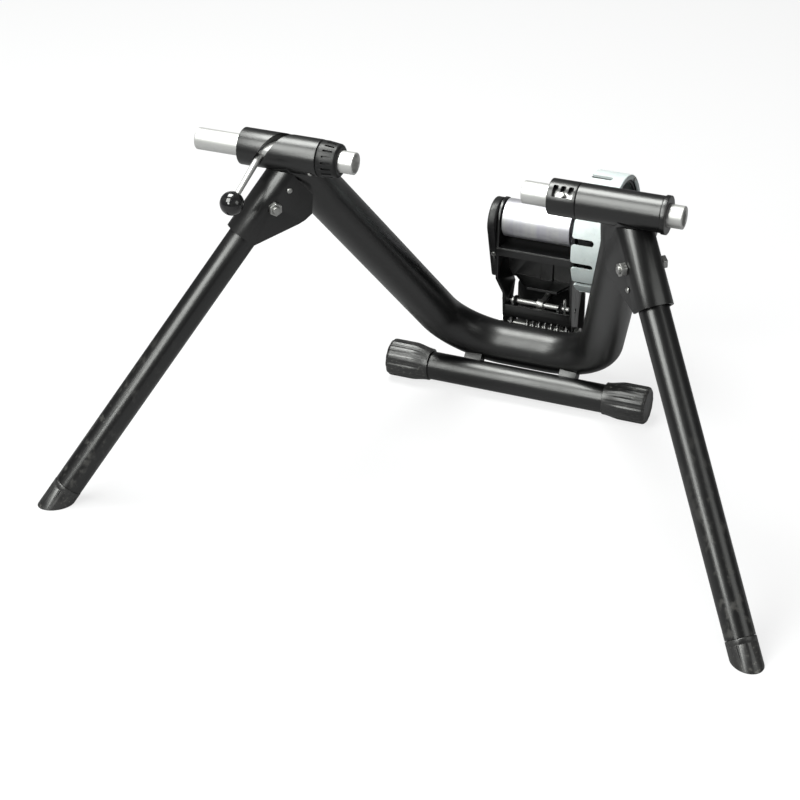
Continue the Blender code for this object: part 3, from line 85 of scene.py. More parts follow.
class Shader:
    """A material's node tree, with short calls for the nodes that the looks below share."""

    def __init__(self, name, colour, roughness, metallic=0.0, **more):
        self.made = bpy.data.materials.new(name)
        self.made.use_nodes = True
        self.tree = self.made.node_tree
        self.surface = self.tree.nodes["Principled BSDF"]
        self.place = self.add("ShaderNodeTexCoord").outputs["Object"]
        put(self.surface, Base_Color=(*colour, 1), Roughness=roughness, Metallic=metallic, **more)
        self.made.diffuse_color = (*colour, 1)

    def add(self, kind, **values):
        node = self.tree.nodes.new(kind)
        for key, value in values.items():
            setattr(node, key, value)
        return node

    def link(self, source, target):
        self.tree.links.new(source, target)

    def stretched(self, scale):
        node = self.add("ShaderNodeMapping")
        put(node, Scale=scale)
        self.link(self.place, node.inputs["Vector"])
        return node.outputs["Vector"]

    def noise(self, scale, detail=3.0, stretch=None, roughness=0.55):
        """Noise with scale features to the metre, finer along an axis where stretch is more than 1."""
        node = self.add("ShaderNodeTexNoise")
        put(node, Scale=scale, Detail=detail, Roughness=roughness)
        self.link(self.stretched(stretch) if stretch else self.place, node.inputs["Vector"])
        return node.outputs["Fac"]

    def sideways(self):
        """How far a point is from the part's middle plane, in metres, as the part stands at rest."""
        node = self.add("ShaderNodeSeparateXYZ")
        self.link(self.place, node.inputs["Vector"])
        return self.maths("MAXIMUM", node.outputs["X"], self.maths("MULTIPLY", node.outputs["X"], -1))

    def band(self, value, low, high, first, last):
        """value mapped from low..high to first..last, and held beyond."""
        node = self.add("ShaderNodeMapRange")
        put(node, From_Min=low, From_Max=high, To_Min=first, To_Max=last)
        self.link(value, node.inputs["Value"])
        return node.outputs["Result"]

    def share(self, value, low, high):
        """0 where value is at most low, 1 where it is at least high."""
        return self.band(value, low, high, 0.0, 1.0)

    def maths(self, operation, first, second):
        node = self.add("ShaderNodeMath", operation=operation)
        for slot, value in zip(node.inputs, (first, second)):
            if isinstance(value, (int, float)):
                slot.default_value = value
            else:
                self.link(value, slot)
        return node.outputs["Value"]

    def mixed(self, share, first, second):
        """A colour between two, by share. Each is a colour or an output."""
        node = self.add("ShaderNodeMix", data_type="RGBA")
        self.link(share, node.inputs["Factor"])
        for place, value in ((MIX_FIRST, first), (MIX_SECOND, second)):
            if isinstance(value, tuple):
                node.inputs[place].default_value = (*value, 1)
            else:
                self.link(value, node.inputs[place])
        return node.outputs[MIX_RESULT]

    def bump(self, height, distance, strength=1.0, under=None):
        node = self.add("ShaderNodeBump")
        put(node, Distance=distance, Strength=strength)
        self.link(height, node.inputs["Height"])
        if under:
            self.link(under, node.inputs["Normal"])
        return node.outputs["Normal"]

    def finished(self, colour, roughness, normal=None):
        """Links what was made to the surface, and gives the material."""
        for name, value in (("Base Color", colour), ("Roughness", roughness), ("Normal", normal)):
            if value:
                self.link(value, self.surface.inputs[name])
        return self.made


def painted_black():
    """Semi-gloss powder coat: fine orange peel, a haze of dust and light scuffs.

    There are more scuffs low on the legs, which is where the part reaches out the furthest.
    """
    black, scuffed = (0.003, 0.003, 0.0032), (0.075, 0.073, 0.068)
    look = Shader("black_paint", black, 0.28, Specular_IOR_Level=0.8)
    peel = look.noise(420, 2)
    grain = look.noise(2600, 2)
    dust = look.share(look.noise(9, 5, roughness=0.65), 0.50, 0.74)
    specks = look.share(look.noise(520, 2), 0.70, 0.78)
    scuffs = look.share(look.noise(60, 4, (1, 1, 5)), 0.68, 0.76)
    marks = look.maths("MULTIPLY", look.maths("MAXIMUM", specks, scuffs), dust)
    near_feet = look.band(look.sideways(), 0.27, 0.37, 0.0, 0.6)
    scraped = look.share(look.noise(95, 5, (1, 1, 0.7), 0.62), 0.53, 0.64)
    marks = look.maths("MAXIMUM", marks, look.maths("MULTIPLY", near_feet, scraped))
    dulled = look.maths("ADD", look.band(dust, 0, 1, 0.31, 0.42), look.maths("MULTIPLY", marks, 0.2))
    colour = look.mixed(marks, black, scuffed)
    normal = look.bump(grain, 0.00003, 0.5, look.bump(peel, 0.0001, 0.35))
    return look.finished(colour, dulled, normal)


def zinc_plate():
    """Zinc on bolts and nuts: cloudy, and dull in patches."""
    dull, bright = (0.34, 0.34, 0.33), (0.58, 0.58, 0.565)
    look = Shader("zinc", (0.62, 0.63, 0.63), 0.34, 1.0)
    cloud = look.noise(160, 4)
    colour = look.mixed(look.share(cloud, 0.3, 0.7), dull, bright)
    normal = look.bump(look.noise(1500, 3), 0.00004, 0.5)
    return look.finished(colour, look.band(cloud, 0.3, 0.7, 0.30, 0.48), normal)


def bright_steel():
    """Ground bar: fine scratches round it, faint smears and small dark spots."""
    bare, smeared, spotted = (0.76, 0.76, 0.75), (0.62, 0.62, 0.605), (0.30, 0.28, 0.26)
    look = Shader("bright_steel", (0.86, 0.86, 0.85), 0.4, 0.8)
    rings = look.noise(60, 3, (70, 1, 1))
    smear = look.share(look.noise(26, 4, (1, 1.4, 1.4)), 0.42, 0.70)
    spots = look.share(look.noise(190, 2), 0.72, 0.76)
    clean = look.mixed(smear, bare, smeared)
    dulled = look.maths("ADD", look.band(rings, 0.3, 0.7, 0.36, 0.44), look.maths("MULTIPLY", smear, 0.10))
    colour = look.mixed(look.maths("MULTIPLY", spots, 0.55), clean, spotted)
    normal = look.bump(rings, 0.00004, 0.25)
    return look.finished(colour, dulled, normal)


def turned_roller():
    """A ground and worn roller: faint rings, with wide bands where tyres ran and a cool tint."""
    bare, run, smeared = (0.80, 0.80, 0.81), (0.66, 0.65, 0.73), (0.60, 0.59, 0.64)
    look = Shader("roller_metal", (0.80, 0.80, 0.80), 0.4, 0.8)
    rings = look.noise(60, 2, (120, 1, 1))
    worn = look.share(look.noise(10, 2, (7, 0.4, 0.4)), 0.38, 0.62)
    smear = look.share(look.noise(30, 4, (1, 2, 2)), 0.45, 0.7)
    dulled = look.maths("ADD", look.band(rings, 0.3, 0.7, 0.36, 0.44), look.maths("MULTIPLY", worn, 0.06))
    colour = look.mixed(smear, look.mixed(worn, bare, run), smeared)
    normal = look.bump(rings, 0.00004, 0.2)
    return look.finished(colour, dulled, normal)


def spring_wire():
    """Dark oiled wire."""
    dark, bright = (0.20, 0.20, 0.20), (0.42, 0.42, 0.41)
    look = Shader("spring_steel", (0.42, 0.42, 0.42), 0.34, 1.0)
    mottle = look.noise(400, 3)
    colour = look.mixed(look.share(mottle, 0.35, 0.7), dark, bright)
    return look.finished(colour, look.band(mottle, 0.3, 0.7, 0.26, 0.46))


def moulded_rubber():
    """Satin rubber with a fine grain, greyed with dust and scraped pale in places."""
    fresh, dusty, scraped = (0.006, 0.006, 0.0065), (0.020, 0.0195, 0.019), (0.14, 0.135, 0.125)
    look = Shader("black_rubber", (0.008, 0.008, 0.0085), 0.38, Specular_IOR_Level=0.95)
    cloud = look.noise(70, 5, roughness=0.7)
    scrape = look.share(look.noise(240, 4, (1, 1, 1.8)), 0.58, 0.68)
    patch = look.share(look.noise(30, 3), 0.52, 0.62)
    marks = look.maths("MULTIPLY", scrape, look.band(patch, 0, 1, 0.25, 1.0))
    base = look.mixed(look.share(cloud, 0.3, 0.75), fresh, dusty)
    colour = look.mixed(marks, base, scraped)
    normal = look.bump(look.noise(1900, 3), 0.00005, 0.5)
    return look.finished(colour, look.band(cloud, 0.3, 0.75, 0.32, 0.46), normal)


def moulded_black():
    """Black moulded plastic with a soft grain, rubbed a little paler in small patches."""
    fresh, dusty, paler = (0.006, 0.006, 0.0065), (0.016, 0.016, 0.0165), (0.035, 0.035, 0.036)
    look = Shader("black_plastic", (0.008, 0.008, 0.0085), 0.38, Specular_IOR_Level=0.38)
    cloud = look.noise(55, 4)
    rubbed = look.share(look.noise(210, 4, (1, 1, 1.7)), 0.62, 0.70)
    base = look.mixed(look.share(cloud, 0.35, 0.7), fresh, dusty)
    colour = look.mixed(rubbed, base, paler)
    normal = look.bump(look.noise(2300, 2), 0.00006, 0.45)
    return look.finished(colour, look.band(cloud, 0.3, 0.7, 0.32, 0.46), normal)


def moulded_grey():
    """Pale moulded plastic, a little green, with a soft grain and a few dirty specks."""
    pale, dusty, dirty = (0.66, 0.72, 0.72), (0.54, 0.60, 0.60), (0.26, 0.27, 0.26)
    look = Shader("grey_plastic", (0.60, 0.65, 0.65), 0.42, Subsurface_Weight=0.02, Subsurface_Scale=0.002)
    cloud = look.noise(48, 5, roughness=0.65)
    dirt = look.share(look.noise(130, 5, roughness=0.7), 0.60, 0.74)
    base = look.mixed(look.share(cloud, 0.35, 0.72), pale, dusty)
    colour = look.mixed(look.maths("MULTIPLY", dirt, 0.35), base, dirty)
    normal = look.bump(look.noise(2100, 2), 0.00005, 0.4)
    return look.finished(colour, look.band(cloud, 0.3, 0.7, 0.36, 0.50), normal)


def glossy_ball():
    """Polished black plastic with faint smears."""
    clean, smeared = (0.006, 0.006, 0.007), (0.016, 0.016, 0.016)
    look = Shader("gloss_black", (0.007, 0.007, 0.008), 0.09, Coat_Weight=0.6, Coat_Roughness=0.04)
    smear = look.share(look.noise(130, 4), 0.42, 0.7)
    return look.finished(look.mixed(smear, clean, smeared), look.band(smear, 0, 1, 0.07, 0.20))


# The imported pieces' materials have these names already, so Blender numbers the names of these
LOOKS = {
    "black_paint": painted_black(),
    "zinc": zinc_plate(),
    "bright_steel": bright_steel(),
    "roller_metal": turned_roller(),
    "spring_steel": spring_wire(),
    "black_rubber": moulded_rubber(),
    "black_plastic": moulded_black(),
    "grey_plastic": moulded_grey(),
    "gloss_black": glossy_ball(),
}


# Shapes, as in the part's source but finer

def placed(origin, z_axis, x_axis=(1, 0, 0)):
    """The matrix that puts a shape's local Z along z_axis, with its local X towards x_axis."""
    z = Vector(z_axis).normalized()
    x = Vector(x_axis)
    x = (x - z * x.dot(z)).normalized()
    matrix = Matrix((x, z.cross(x), z)).transposed().to_4x4()
    matrix.translation = origin
    return matrix


def linked(name, data):
    obj = bpy.data.objects.new(name, data)
    bpy.context.scene.collection.objects.link(obj)
    return obj


def meshed(name, shape):
    mesh = bpy.data.meshes.new(name)
    shape.to_mesh(mesh)
    shape.free()
    return linked(name, mesh)


def solid(name, rings, matrix=None, closed=False):
    """An object from rings of points, capped at both ends or joined round. A ring of one point is a tip."""
    shape = bmesh.new()
    rows = [[shape.verts.new(point) for point in ring] for ring in rings]
    pairs = list(zip(rows, rows[1:])) + ([(rows[-1], rows[0])] if closed else [])
    for low, high in pairs:
        count = max(len(low), len(high))
        for i in range(count):
            j = (i + 1) % count
            corners = [low[i % len(low)], low[j % len(low)], high[j % len(high)], high[i % len(high)]]
            corners = list(dict.fromkeys(corners))
            if len(corners) > 2:
                shape.faces.new(corners)
    if not closed:
        for row in (rows[0], rows[-1]):
            if len(row) > 2:
                shape.faces.new(row)
    bmesh.ops.recalc_face_normals(shape, faces=shape.faces)
    obj = meshed(name, shape)
    obj.matrix_world = matrix or Matrix()
    return obj


def circle(radius, z, count, start=0.0):
    if radius == 0:
        return [Vector((0, 0, z))]
    turn = math.tau / count
    angles = [start + i * turn for i in range(count)]
    return [Vector((radius * math.cos(a), radius * math.sin(a), z)) for a in angles]


def turned(name, profile, matrix, closed=True, count=FINE):
    """A turned piece: (place along the axis, radius) pairs, as a closed section or from tip to tip."""
    return solid(name, [circle(radius, place, count) for place, radius in profile], matrix, closed)


def wall(first, last, outer, inner):
    """The section of a plain ring or tube."""
    return [(first, outer), (last, outer), (last, inner), (first, inner)]


def softened(profile, size, steps=3, closed=True):
    """A section with its corners cut round by size, but for its open ends and any point on the axis."""
    made = []
    flat = [Vector(point) for point in profile]
    for i, point in enumerate(flat):
        before, after = flat[i - 1], flat[(i + 1) % len(flat)]
        at_end = not closed and i in (0, len(flat) - 1)
        if at_end or point.y == 0:
            made.append(tuple(point))
            continue
        back, on = before - point, after - point
        reach = min(size, back.length / CORNER_ROOM, on.length / CORNER_ROOM)
        first = point + back.normalized() * reach
        last = point + on.normalized() * reach
        for step in range(steps + 1):
            share = step / steps
            curve = first * (1 - share) ** 2 + point * 2 * share * (1 - share) + last * share**2
            made.append(tuple(curve))
    return made


def eased(share):
    """share from 0 to 1, slow at both ends."""
    return share * share * (3 - 2 * share)


def round_turn(count, start=0.0):
    """Angles in equal steps round a turn. The first is start steps on from 0."""
    return [math.tau * (i + start) / count for i in range(count)]


def prism(name, outline, low, high, matrix):
    return solid(name, [[Vector((x, y, z)) for x, y in outline] for z in (low, high)], matrix)


def box(name, low, high, matrix=None):
    outline = [(low[0], low[1]), (high[0], low[1]), (high[0], high[1]), (low[0], high[1])]
    return prism(name, outline, low[2], high[2], matrix)


def arc(centre, radius, first, last, steps):
    """Points on an arc from first to last degrees."""
    angles = [math.radians(first + (last - first) * i / steps) for i in range(steps + 1)]
    return [(centre[0] + radius * math.cos(a), centre[1] + radius * math.sin(a)) for a in angles]


def apply_modifiers(obj):
    graph = bpy.context.evaluated_depsgraph_get()
    graph.update()
    mesh = bpy.data.meshes.new_from_object(obj.evaluated_get(graph))
    old = obj.data
    obj.modifiers.clear()
    obj.data = mesh
    bpy.data.meshes.remove(old)


def combine(obj, others, operation):
    bpy.context.view_layer.update()
    for other in others:
        step = obj.modifiers.new(operation, "BOOLEAN")
        step.operation = operation
        step.object = other
        step.solver = "EXACT"
        apply_modifiers(obj)
        bpy.data.meshes.remove(other.data)
    return obj


def cut(obj, *others):
    return combine(obj, others, "DIFFERENCE")


def join(obj, *others):
    return combine(obj, others, "UNION")


def merged(name, pieces):
    """One object with the meshes of pieces that don't touch, for a single cut or join."""
    shape = bmesh.new()
    for piece in pieces:
        start = len(shape.verts)
        shape.from_mesh(piece.data)
        shape.verts.ensure_lookup_table()
        bmesh.ops.transform(shape, matrix=piece.matrix_world, verts=shape.verts[start:])
        bpy.data.meshes.remove(piece.data)
    return meshed(name, shape)


def rod(name, start, end, radius, count=ROUND, start_radius=None):
    """A round rod between two points, tapered where start_radius is given."""
    length = (end - start).length
    side = (1, 0, 0) if abs((end - start).normalized().x) < 0.9 else (0, 1, 0)
    profile = [(0, 0), (0, start_radius or radius), (length, radius), (length, 0)]
    return turned(name, profile, placed(start, end - start, side), False, count)


def around_axle(x, radius, angle):
    """A point beside the axle line. Angle 0 is to the front, and a quarter turn is up."""
    return AXLE + Vector((x, -radius * math.cos(angle), radius * math.sin(angle)))


def off_axle(angle):
    """The matrix whose local Z points out from the axle line."""
    return placed(AXLE, (around_axle(0, 1, angle) - AXLE).normalized())


def rounded_edges(obj, width, angle=40, segments=3):
    step = obj.modifiers.new("edges", "BEVEL")
    step.width = width
    step.segments = segments
    step.limit_method = "ANGLE"
    step.angle_limit = math.radians(angle)
    step.harden_normals = True


def smoothed(obj, angle=32):
    obj.data.shade_smooth()
    obj.data.set_sharp_from_angle(angle=math.radians(angle))


def paint(obj, node):
    obj.data.materials.clear()
    obj.data.materials.append(LOOKS[SLOT_OF[node]])


def show(obj, node, edge=0.0, smooth=32):
    """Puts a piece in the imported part's frame, gives it its look, and lets it stand for the CAD node."""
    bpy.context.view_layer.update()
    obj.data.transform(BUILT @ obj.matrix_world)
    obj.matrix_world = Matrix()
    obj.name = "fine_" + node
    paint(obj, node)
    smoothed(obj, smooth)
    if edge:
        rounded_edges(obj, edge)
    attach(obj, BODY_OF[node])
    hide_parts(node)


ALONG_AXLE = placed(AXLE, (1, 0, 0), (0, -1, 0))


# Main frame and crossbar

TUBE_RADIUS = 0.0254
TUBE_WALL = 0.002
TUBE_POINTS = 72
FRAME_LEAN = math.radians(38.5)
ARM_TOP_X = 0.193
ARM_SPLAY = math.radians(14.3)
BEND_RADIUS = 0.080
BEND_STEPS = 40
SQUEEZE_LENGTH = 0.034
SQUEEZE_FADE = 0.060
SQUEEZE_LIP = 0.0018
SQUEEZE_STEPS = 16
LEFT_SLEEVE_RADIUS = 0.02025
RIGHT_SLEEVE_RADIUS = 0.019
LEFT_SEAT = (-0.263, -0.131)
RIGHT_SEAT = (0.086, 0.251)
BAR_RADIUS = 0.017
BAR_WALL = 0.002
BAR_HALF_LENGTH = 0.1585
SPACER_THICKNESS = 0.004
CAP_RADIUS = 0.0224
CAP_OFFSET = 0.0017
CAP_LENGTH = 0.0535
CAP_END_WALL = 0.0047
CAP_POINTS = 144
CAP_FLUTES = 12
CAP_FLUTE_DEPTH = 0.0011
CAP_FLUTE_STEEPNESS = 1.6
CAP_MOUTH_OFFSET = 0.0006
CAP_MOUTH_RADIUS = BAR_RADIUS + 0.0012
CAP_MOUTH_BEVEL = 0.0004
CAP_MOUTH_STEP = 0.0022
CAP_LIP = 0.0006
CAP_SWELL = 0.0234
CAP_SWELL_STEPS = 8

# For each ring of a cap's rounded end: how far inside the rim, how far short of the end, flute depth
CAP_ROUNDING = (
    (0, 0.004, 0.0011),
    (0.0003, 0.0025, 0.0011),
    (0.0012, 0.0010, 0.0010),
    (0.0028, 0.0001, 0.0006),
    (0.0045, 0, 0.0002),
)
CAP_DISH = 0.006
CAP_DISH_DEPTH = 0.0008
CAP_DISH_MIDDLE = 0.004
CAP_DISH_PEAK = 0.0004

DOWN_FRAME = Vector((0, math.sin(FRAME_LEAN), -math.cos(FRAME_LEAN)))
FRAME_NORMAL = Vector((0, math.cos(FRAME_LEAN), math.sin(FRAME_LEAN)))
BAR_TO_TUBE = TUBE_RADIUS + SPACER_THICKNESS + BAR_RADIUS
BAR_HEIGHT = FLOOR + CAP_RADIUS - CAP_OFFSET
FRAME_DROP = (AXLE.z - BAR_HEIGHT - BAR_TO_TUBE * FRAME_NORMAL.z) / math.cos(FRAME_LEAN)
BAR_CENTRE = AXLE + DOWN_FRAME * FRAME_DROP - FRAME_NORMAL * BAR_TO_TUBE


def squeeze(distance, sleeve_radius):
    """The tube's half widths across and along the sleeve, at a distance from the axle line."""
    narrow = sleeve_radius + SQUEEZE_LIP
    share = eased(min(max((distance - SQUEEZE_LENGTH) / SQUEEZE_FADE, 0), 1))
    across = narrow + (TUBE_RADIUS - narrow) * share
    return across, 2 * TUBE_RADIUS - across


def frame_half(side, sleeve_radius):
    """Place, direction and half widths at each ring of one arm and its bend, from the axle down."""
    down = DOWN_FRAME * math.cos(ARM_SPLAY) + Vector((-side * math.sin(ARM_SPLAY), 0, 0))
    top = AXLE + Vector((side * ARM_TOP_X, 0, 0))
    turn = math.pi / 2 - ARM_SPLAY
    arm_length = FRAME_DROP / math.cos(ARM_SPLAY) - BEND_RADIUS * math.tan(turn / 2)
    steps = range(1, SQUEEZE_STEPS + 1)
    reaches = [0, SQUEEZE_LENGTH] + [SQUEEZE_LENGTH + SQUEEZE_FADE * i / SQUEEZE_STEPS for i in steps]
    stations = [(top + down * reach, down, squeeze(reach, sleeve_radius)) for reach in reaches]
    inward = Vector((-side, 0, 0))
    towards = (inward - down * inward.dot(down)).normalized()
    centre = top + down * arm_length + towards * BEND_RADIUS
    for i in range(BEND_STEPS + 1):
        angle = turn * i / BEND_STEPS
        place = centre - towards * BEND_RADIUS * math.cos(angle) + down * BEND_RADIUS * math.sin(angle)
        direction = down * math.cos(angle) + towards * math.sin(angle)
        stations.append((place, direction, (TUBE_RADIUS, TUBE_RADIUS)))
    return stations


def frame_rings(offset):
    left = frame_half(-1, LEFT_SLEEVE_RADIUS)
    right = [(place, -along, widths) for place, along, widths in frame_half(1, RIGHT_SLEEVE_RADIUS)]
    angles = round_turn(TUBE_POINTS)
    rings = []
    for place, direction, (across, level) in left + right[::-1]:
        side = direction.cross(FRAME_NORMAL).normalized()
        wide, high = across + offset, level + offset
        rings.append([place + FRAME_NORMAL * wide * math.cos(a) + side * high * math.sin(a) for a in angles])
    return rings


def seat_cutter(seat, sleeve_radius):
    start, end = (AXLE + Vector((x, 0, 0)) for x in seat)
    return rod("seat", start, end, sleeve_radius + GAP, FINE)


def main_frame():
    made = solid("main", frame_rings(0) + frame_rings(-TUBE_WALL)[::-1], closed=True)
    left = seat_cutter(LEFT_SEAT, LEFT_SLEEVE_RADIUS)
    right = seat_cutter(RIGHT_SEAT, RIGHT_SLEEVE_RADIUS)
    show(cut(made, left, right), "main_frame_tube", 0.0005)


def foot_crossbar():
    section = wall(-BAR_HALF_LENGTH, BAR_HALF_LENGTH, BAR_RADIUS, BAR_RADIUS - BAR_WALL)
    show(turned("bar", section, placed(BAR_CENTRE, (1, 0, 0), (0, 1, 0))), "foot_crossbar")


def fluted(radius, place, depth, offset=CAP_OFFSET):
    """One ring of a foot cap, with flutes that are flat between their ribs."""
    ring = []
    for i in range(CAP_POINTS):
        angle = math.tau * (i + 0.5) / CAP_POINTS - math.pi / 2
        wave = math.cos(CAP_FLUTES * (math.tau * i / CAP_POINTS) - math.pi * 0.75)
        reach = radius - depth * min(max(CAP_FLUTE_STEEPNESS * wave + 0.5, 0), 1)
        ring.append(Vector((reach * math.cos(angle), reach * math.sin(angle) + offset, place)))
    return ring


def foot_cap(word, side):
    """A ribbed cup with rounded flutes and a soft rolled mouth, set off the bar's centre."""
    end = BAR_HALF_LENGTH + CAP_END_WALL
    mouth = end - CAP_LENGTH
    bore, bar_end = BAR_RADIUS + GAP, BAR_HALF_LENGTH + GAP
    start = -math.pi / 2 + math.pi / CAP_POINTS
    rings = [circle(bore, mouth + CAP_MOUTH_BEVEL, CAP_POINTS, start)]
    rings += [fluted(CAP_MOUTH_RADIUS, mouth, 0, CAP_MOUTH_OFFSET)]
    rings += [fluted(BAR_RADIUS + CAP_MOUTH_STEP, mouth + CAP_LIP, 0, CAP_OFFSET / 2)]
    for step in range(1, CAP_SWELL_STEPS + 1):
        share = step / CAP_SWELL_STEPS
        curve = eased(share)
        radius = BAR_RADIUS + CAP_MOUTH_STEP + (CAP_RADIUS - BAR_RADIUS - CAP_MOUTH_STEP) * curve
        place = mouth + CAP_LIP + CAP_SWELL * share
        offset = CAP_OFFSET / 2 + CAP_OFFSET / 2 * share
        rings.append(fluted(radius, place, CAP_FLUTE_DEPTH * curve, offset))
    rings += [fluted(CAP_RADIUS - inside, end - short, depth) for inside, short, depth in CAP_ROUNDING]
    dish = end - CAP_DISH_DEPTH
    rings += [fluted(CAP_RADIUS - CAP_DISH, dish, 0), fluted(CAP_DISH_MIDDLE, dish, 0)]
    rings += [[Vector((0, CAP_OFFSET, end - CAP_DISH_PEAK))], [Vector((0, 0, bar_end))]]
    rings += [circle(bore, bar_end, CAP_POINTS, start)]
    matrix = placed(BAR_CENTRE, (side, 0, 0), (0, side, 0))
    show(solid("cap", rings, matrix, closed=True), word + "_foot_cap", smooth=50)


# Folding legs

LEG_RADIUS = 0.016
LEG_WALL = 0.002
PIVOT = Vector((0.210, -0.013, 0.322))
PIVOT_HOLE_RADIUS = 0.0043
LEG_LEAN = math.radians(39.1)
LEG_SPREAD = math.radians(45.6)
FOOT_HEAD = 0.025
FOOT_STEM = 0.028
FOOT_STEM_RADIUS = LEG_RADIUS - 0.0023
FOOT_HEAD_RADIUS = LEG_RADIUS + GAP
FOOT_STEM_TAPER = 0.002
FOOT_TAPER_END = 0.025
FOOT_SPARE = 0.03

# The fine groove round a foot's head: its first edge, middle and last edge past the tube's end
FOOT_GROOVE = (0.006, 0.0064, 0.0068)
FOOT_GROOVE_DEPTH = 0.0003
LEG_REACH = (PIVOT.z - FLOOR) / math.cos(LEG_LEAN)
LEG_END = LEG_REACH - FOOT_HEAD

# The barrel that clears the folded bracket, and that the tube's top is cut to
BARREL_ROOM = 0.0025
BARREL_CORNER = 0.0145
BRACKET_CORNER = 0.016
BRACKET_GAP = 0.001
BARREL_ANGLES = (0, 8, 16, 24, 32, 40, 48, 56, 64, 72, 79, 85)
BEYOND = 0.1


def leg_matrix(side):
    """Local Z runs down the leg from its pivot, and local X runs along the pivot bolt."""
    outward = Vector((side * math.cos(LEG_SPREAD), -math.sin(LEG_SPREAD), 0))
    down = outward * math.sin(LEG_LEAN) - Vector((0, 0, math.cos(LEG_LEAN)))
    back = -outward * math.cos(LEG_LEAN) - Vector((0, 0, math.sin(LEG_LEAN)))
    return placed(Vector((side * PIVOT.x, PIVOT.y, PIVOT.z)), down, back.cross(down))


def leg_tube(word, side):
    matrix = leg_matrix(side)
    outer, inner, top = LEG_RADIUS, LEG_RADIUS - LEG_WALL, -LEG_RADIUS - 0.002
    made = turned("leg", [(LEG_END, outer), (LEG_END, inner), (top, inner), (top, outer)], matrix)
    straight = LEG_RADIUS + BARREL_ROOM - BRACKET_CORNER
    quarter = []
    for angle in BARREL_ANGLES:
        x = straight + BARREL_CORNER * math.sin(math.radians(angle))
        y = straight + BARREL_CORNER * math.cos(math.radians(angle)) - BRACKET_GAP
        quarter.append((x, y))
    edge = quarter[-1][0] + 0.0001
    profile = [(-edge, 0)] + [(-x, y) for x, y in quarter[::-1]] + quarter + [(edge, 0)]
    barrel = turned("barrel", profile, matrix @ placed((0, 0, 0), (1, 0, 0), (0, 1, 0)), False)
    wide = 1.4 * LEG_RADIUS
    above = cut(box("above", (-wide, -wide, -wide), (wide, wide, 0), matrix), barrel)
    across = Vector((0.05, 0, 0))
    hole = rod("hole", matrix @ -across, matrix @ across, PIVOT_HOLE_RADIUS)
    show(cut(made, above, hole), word + "_leg_tube", 0.0004, 40)


def leg_foot(word, side):
    """The plug's head: ground flat to the floor, with a ring where it meets the tube."""
    matrix = leg_matrix(side)
    stem, head = FOOT_STEM_RADIUS, FOOT_HEAD_RADIUS
    first, seam, low = LEG_END - FOOT_STEM, LEG_END + GAP, LEG_REACH + FOOT_SPARE
    near, middle, far = (LEG_END + past for past in FOOT_GROOVE)
    profile = [(first, 0), (first, stem - FOOT_STEM_TAPER), (LEG_END - FOOT_TAPER_END, stem), (seam, stem)]
    profile += softened([(seam, stem), (seam, head), (near, head)], 0.0012, 4, False)[1:]
    profile += [(middle, head - FOOT_GROOVE_DEPTH), (far, head), (low, head), (low, 0)]
    made = turned("foot", profile, matrix, False)
    tip = matrix @ Vector((0, 0, LEG_REACH))
    corner = (tip.x + BEYOND, tip.y + BEYOND, FLOOR)
    under = box("under", (tip.x - BEYOND, tip.y - BEYOND, -BEYOND), corner)
    show(cut(made, under), word + "_leg_foot", 0.0006, 40)


# Axle clamp and pins

PIN_RADIUS = 0.012
PIN_BORE = PIN_RADIUS + GAP
CUP_RADIUS = 0.0094
CUP_FLOOR_RADIUS = 0.0074
CUP_DEPTH = 0.009
LEFT_SLEEVE_OUTER = -0.2425
LEFT_SLEEVE_INNER = -0.151
ADJUSTER_CAP_INNER = -0.128
ADJUSTER_GROOVES = 18
GROOVE_HALF_WIDTH = 0.0011
GROOVE_DEPTH = 0.0028
GROOVE_START = 0.0075
GROOVE_END = 0.0062
LEFT_PIN_OUTER = -0.297
LEFT_PIN_SPLIT = -0.1505
LEFT_PIN_FACE = -0.1115
RIGHT_SLEEVE_INNER = 0.106
RIGHT_SLEEVE_SEAM = 0.137
RIGHT_SLEEVE_OUTER = 0.231
RIGHT_SLEEVE_LIP = 0.0012
RIGHT_LIP_FOOT = 0.0055
RIGHT_LIP_WIDTH = 0.005
RIGHT_PIN_FACE = 0.0765
RIGHT_PIN_OUTER = 0.247
RIGHT_PIN_BORE = 0.008
LEVER_X = -0.219
LEVER_ANGLE = math.radians(-21)
LEVER_TURN = math.radians(134)
LEVER_TRAVEL = 0.0284
LEVER_ROOT_RADIUS = 0.004
LEVER_TIP_RADIUS = 0.003
LEVER_REACH = 0.0816
BALL_REACH = 0.0855
BALL_RADIUS = 0.013
BALL_FLAT = 0.94
SLOT_HALF_WIDTH = 0.0046
SLOT_STEPS = 56
STUD_X = 0.1222
STUD_ANGLE = math.radians(34)
STUD_RADIUS = 0.0025
STUD_TIP = RIGHT_SLEEVE_RADIUS + 0.0015
NOTCH_COUNT = 3
NOTCH_WIDTH = 0.0054
NOTCH_PITCH = 0.0082
NOTCH_HALF_HEIGHT = 0.0031
NOTCH_DEPTH = 0.005
NOTCH_CORNER = 0.0015


def slot_cutter():
    """The lever's helical slot, with rows laid across the path and round ends."""
    inner, outer = PIN_RADIUS - OVERCUT, LEFT_SLEEVE_RADIUS + OVERCUT
    half = SLOT_HALF_WIDTH
    lead = LEVER_TRAVEL / LEVER_TURN
    rings, ends = [], []
    for i in range(SLOT_STEPS + 1):
        turn = LEVER_TURN * i / SLOT_STEPS
        angle = LEVER_ANGLE + turn
        x = LEVER_X + lead * turn
        round_way = Vector((0, math.sin(angle), math.cos(angle)))
        row = []
        for radius, way in ((inner, -half), (inner, half), (outer, half), (outer, -half)):
            across_path = (Vector((radius, 0, 0)) - round_way * lead).normalized()
            row.append(around_axle(x, radius, angle) + across_path * way)
        rings.append(row)
        if i in (0, SLOT_STEPS):
            ends.append(rod("end", around_axle(x, inner, angle), around_axle(x, outer, angle), half))
    return join(solid("slot", rings), *ends)


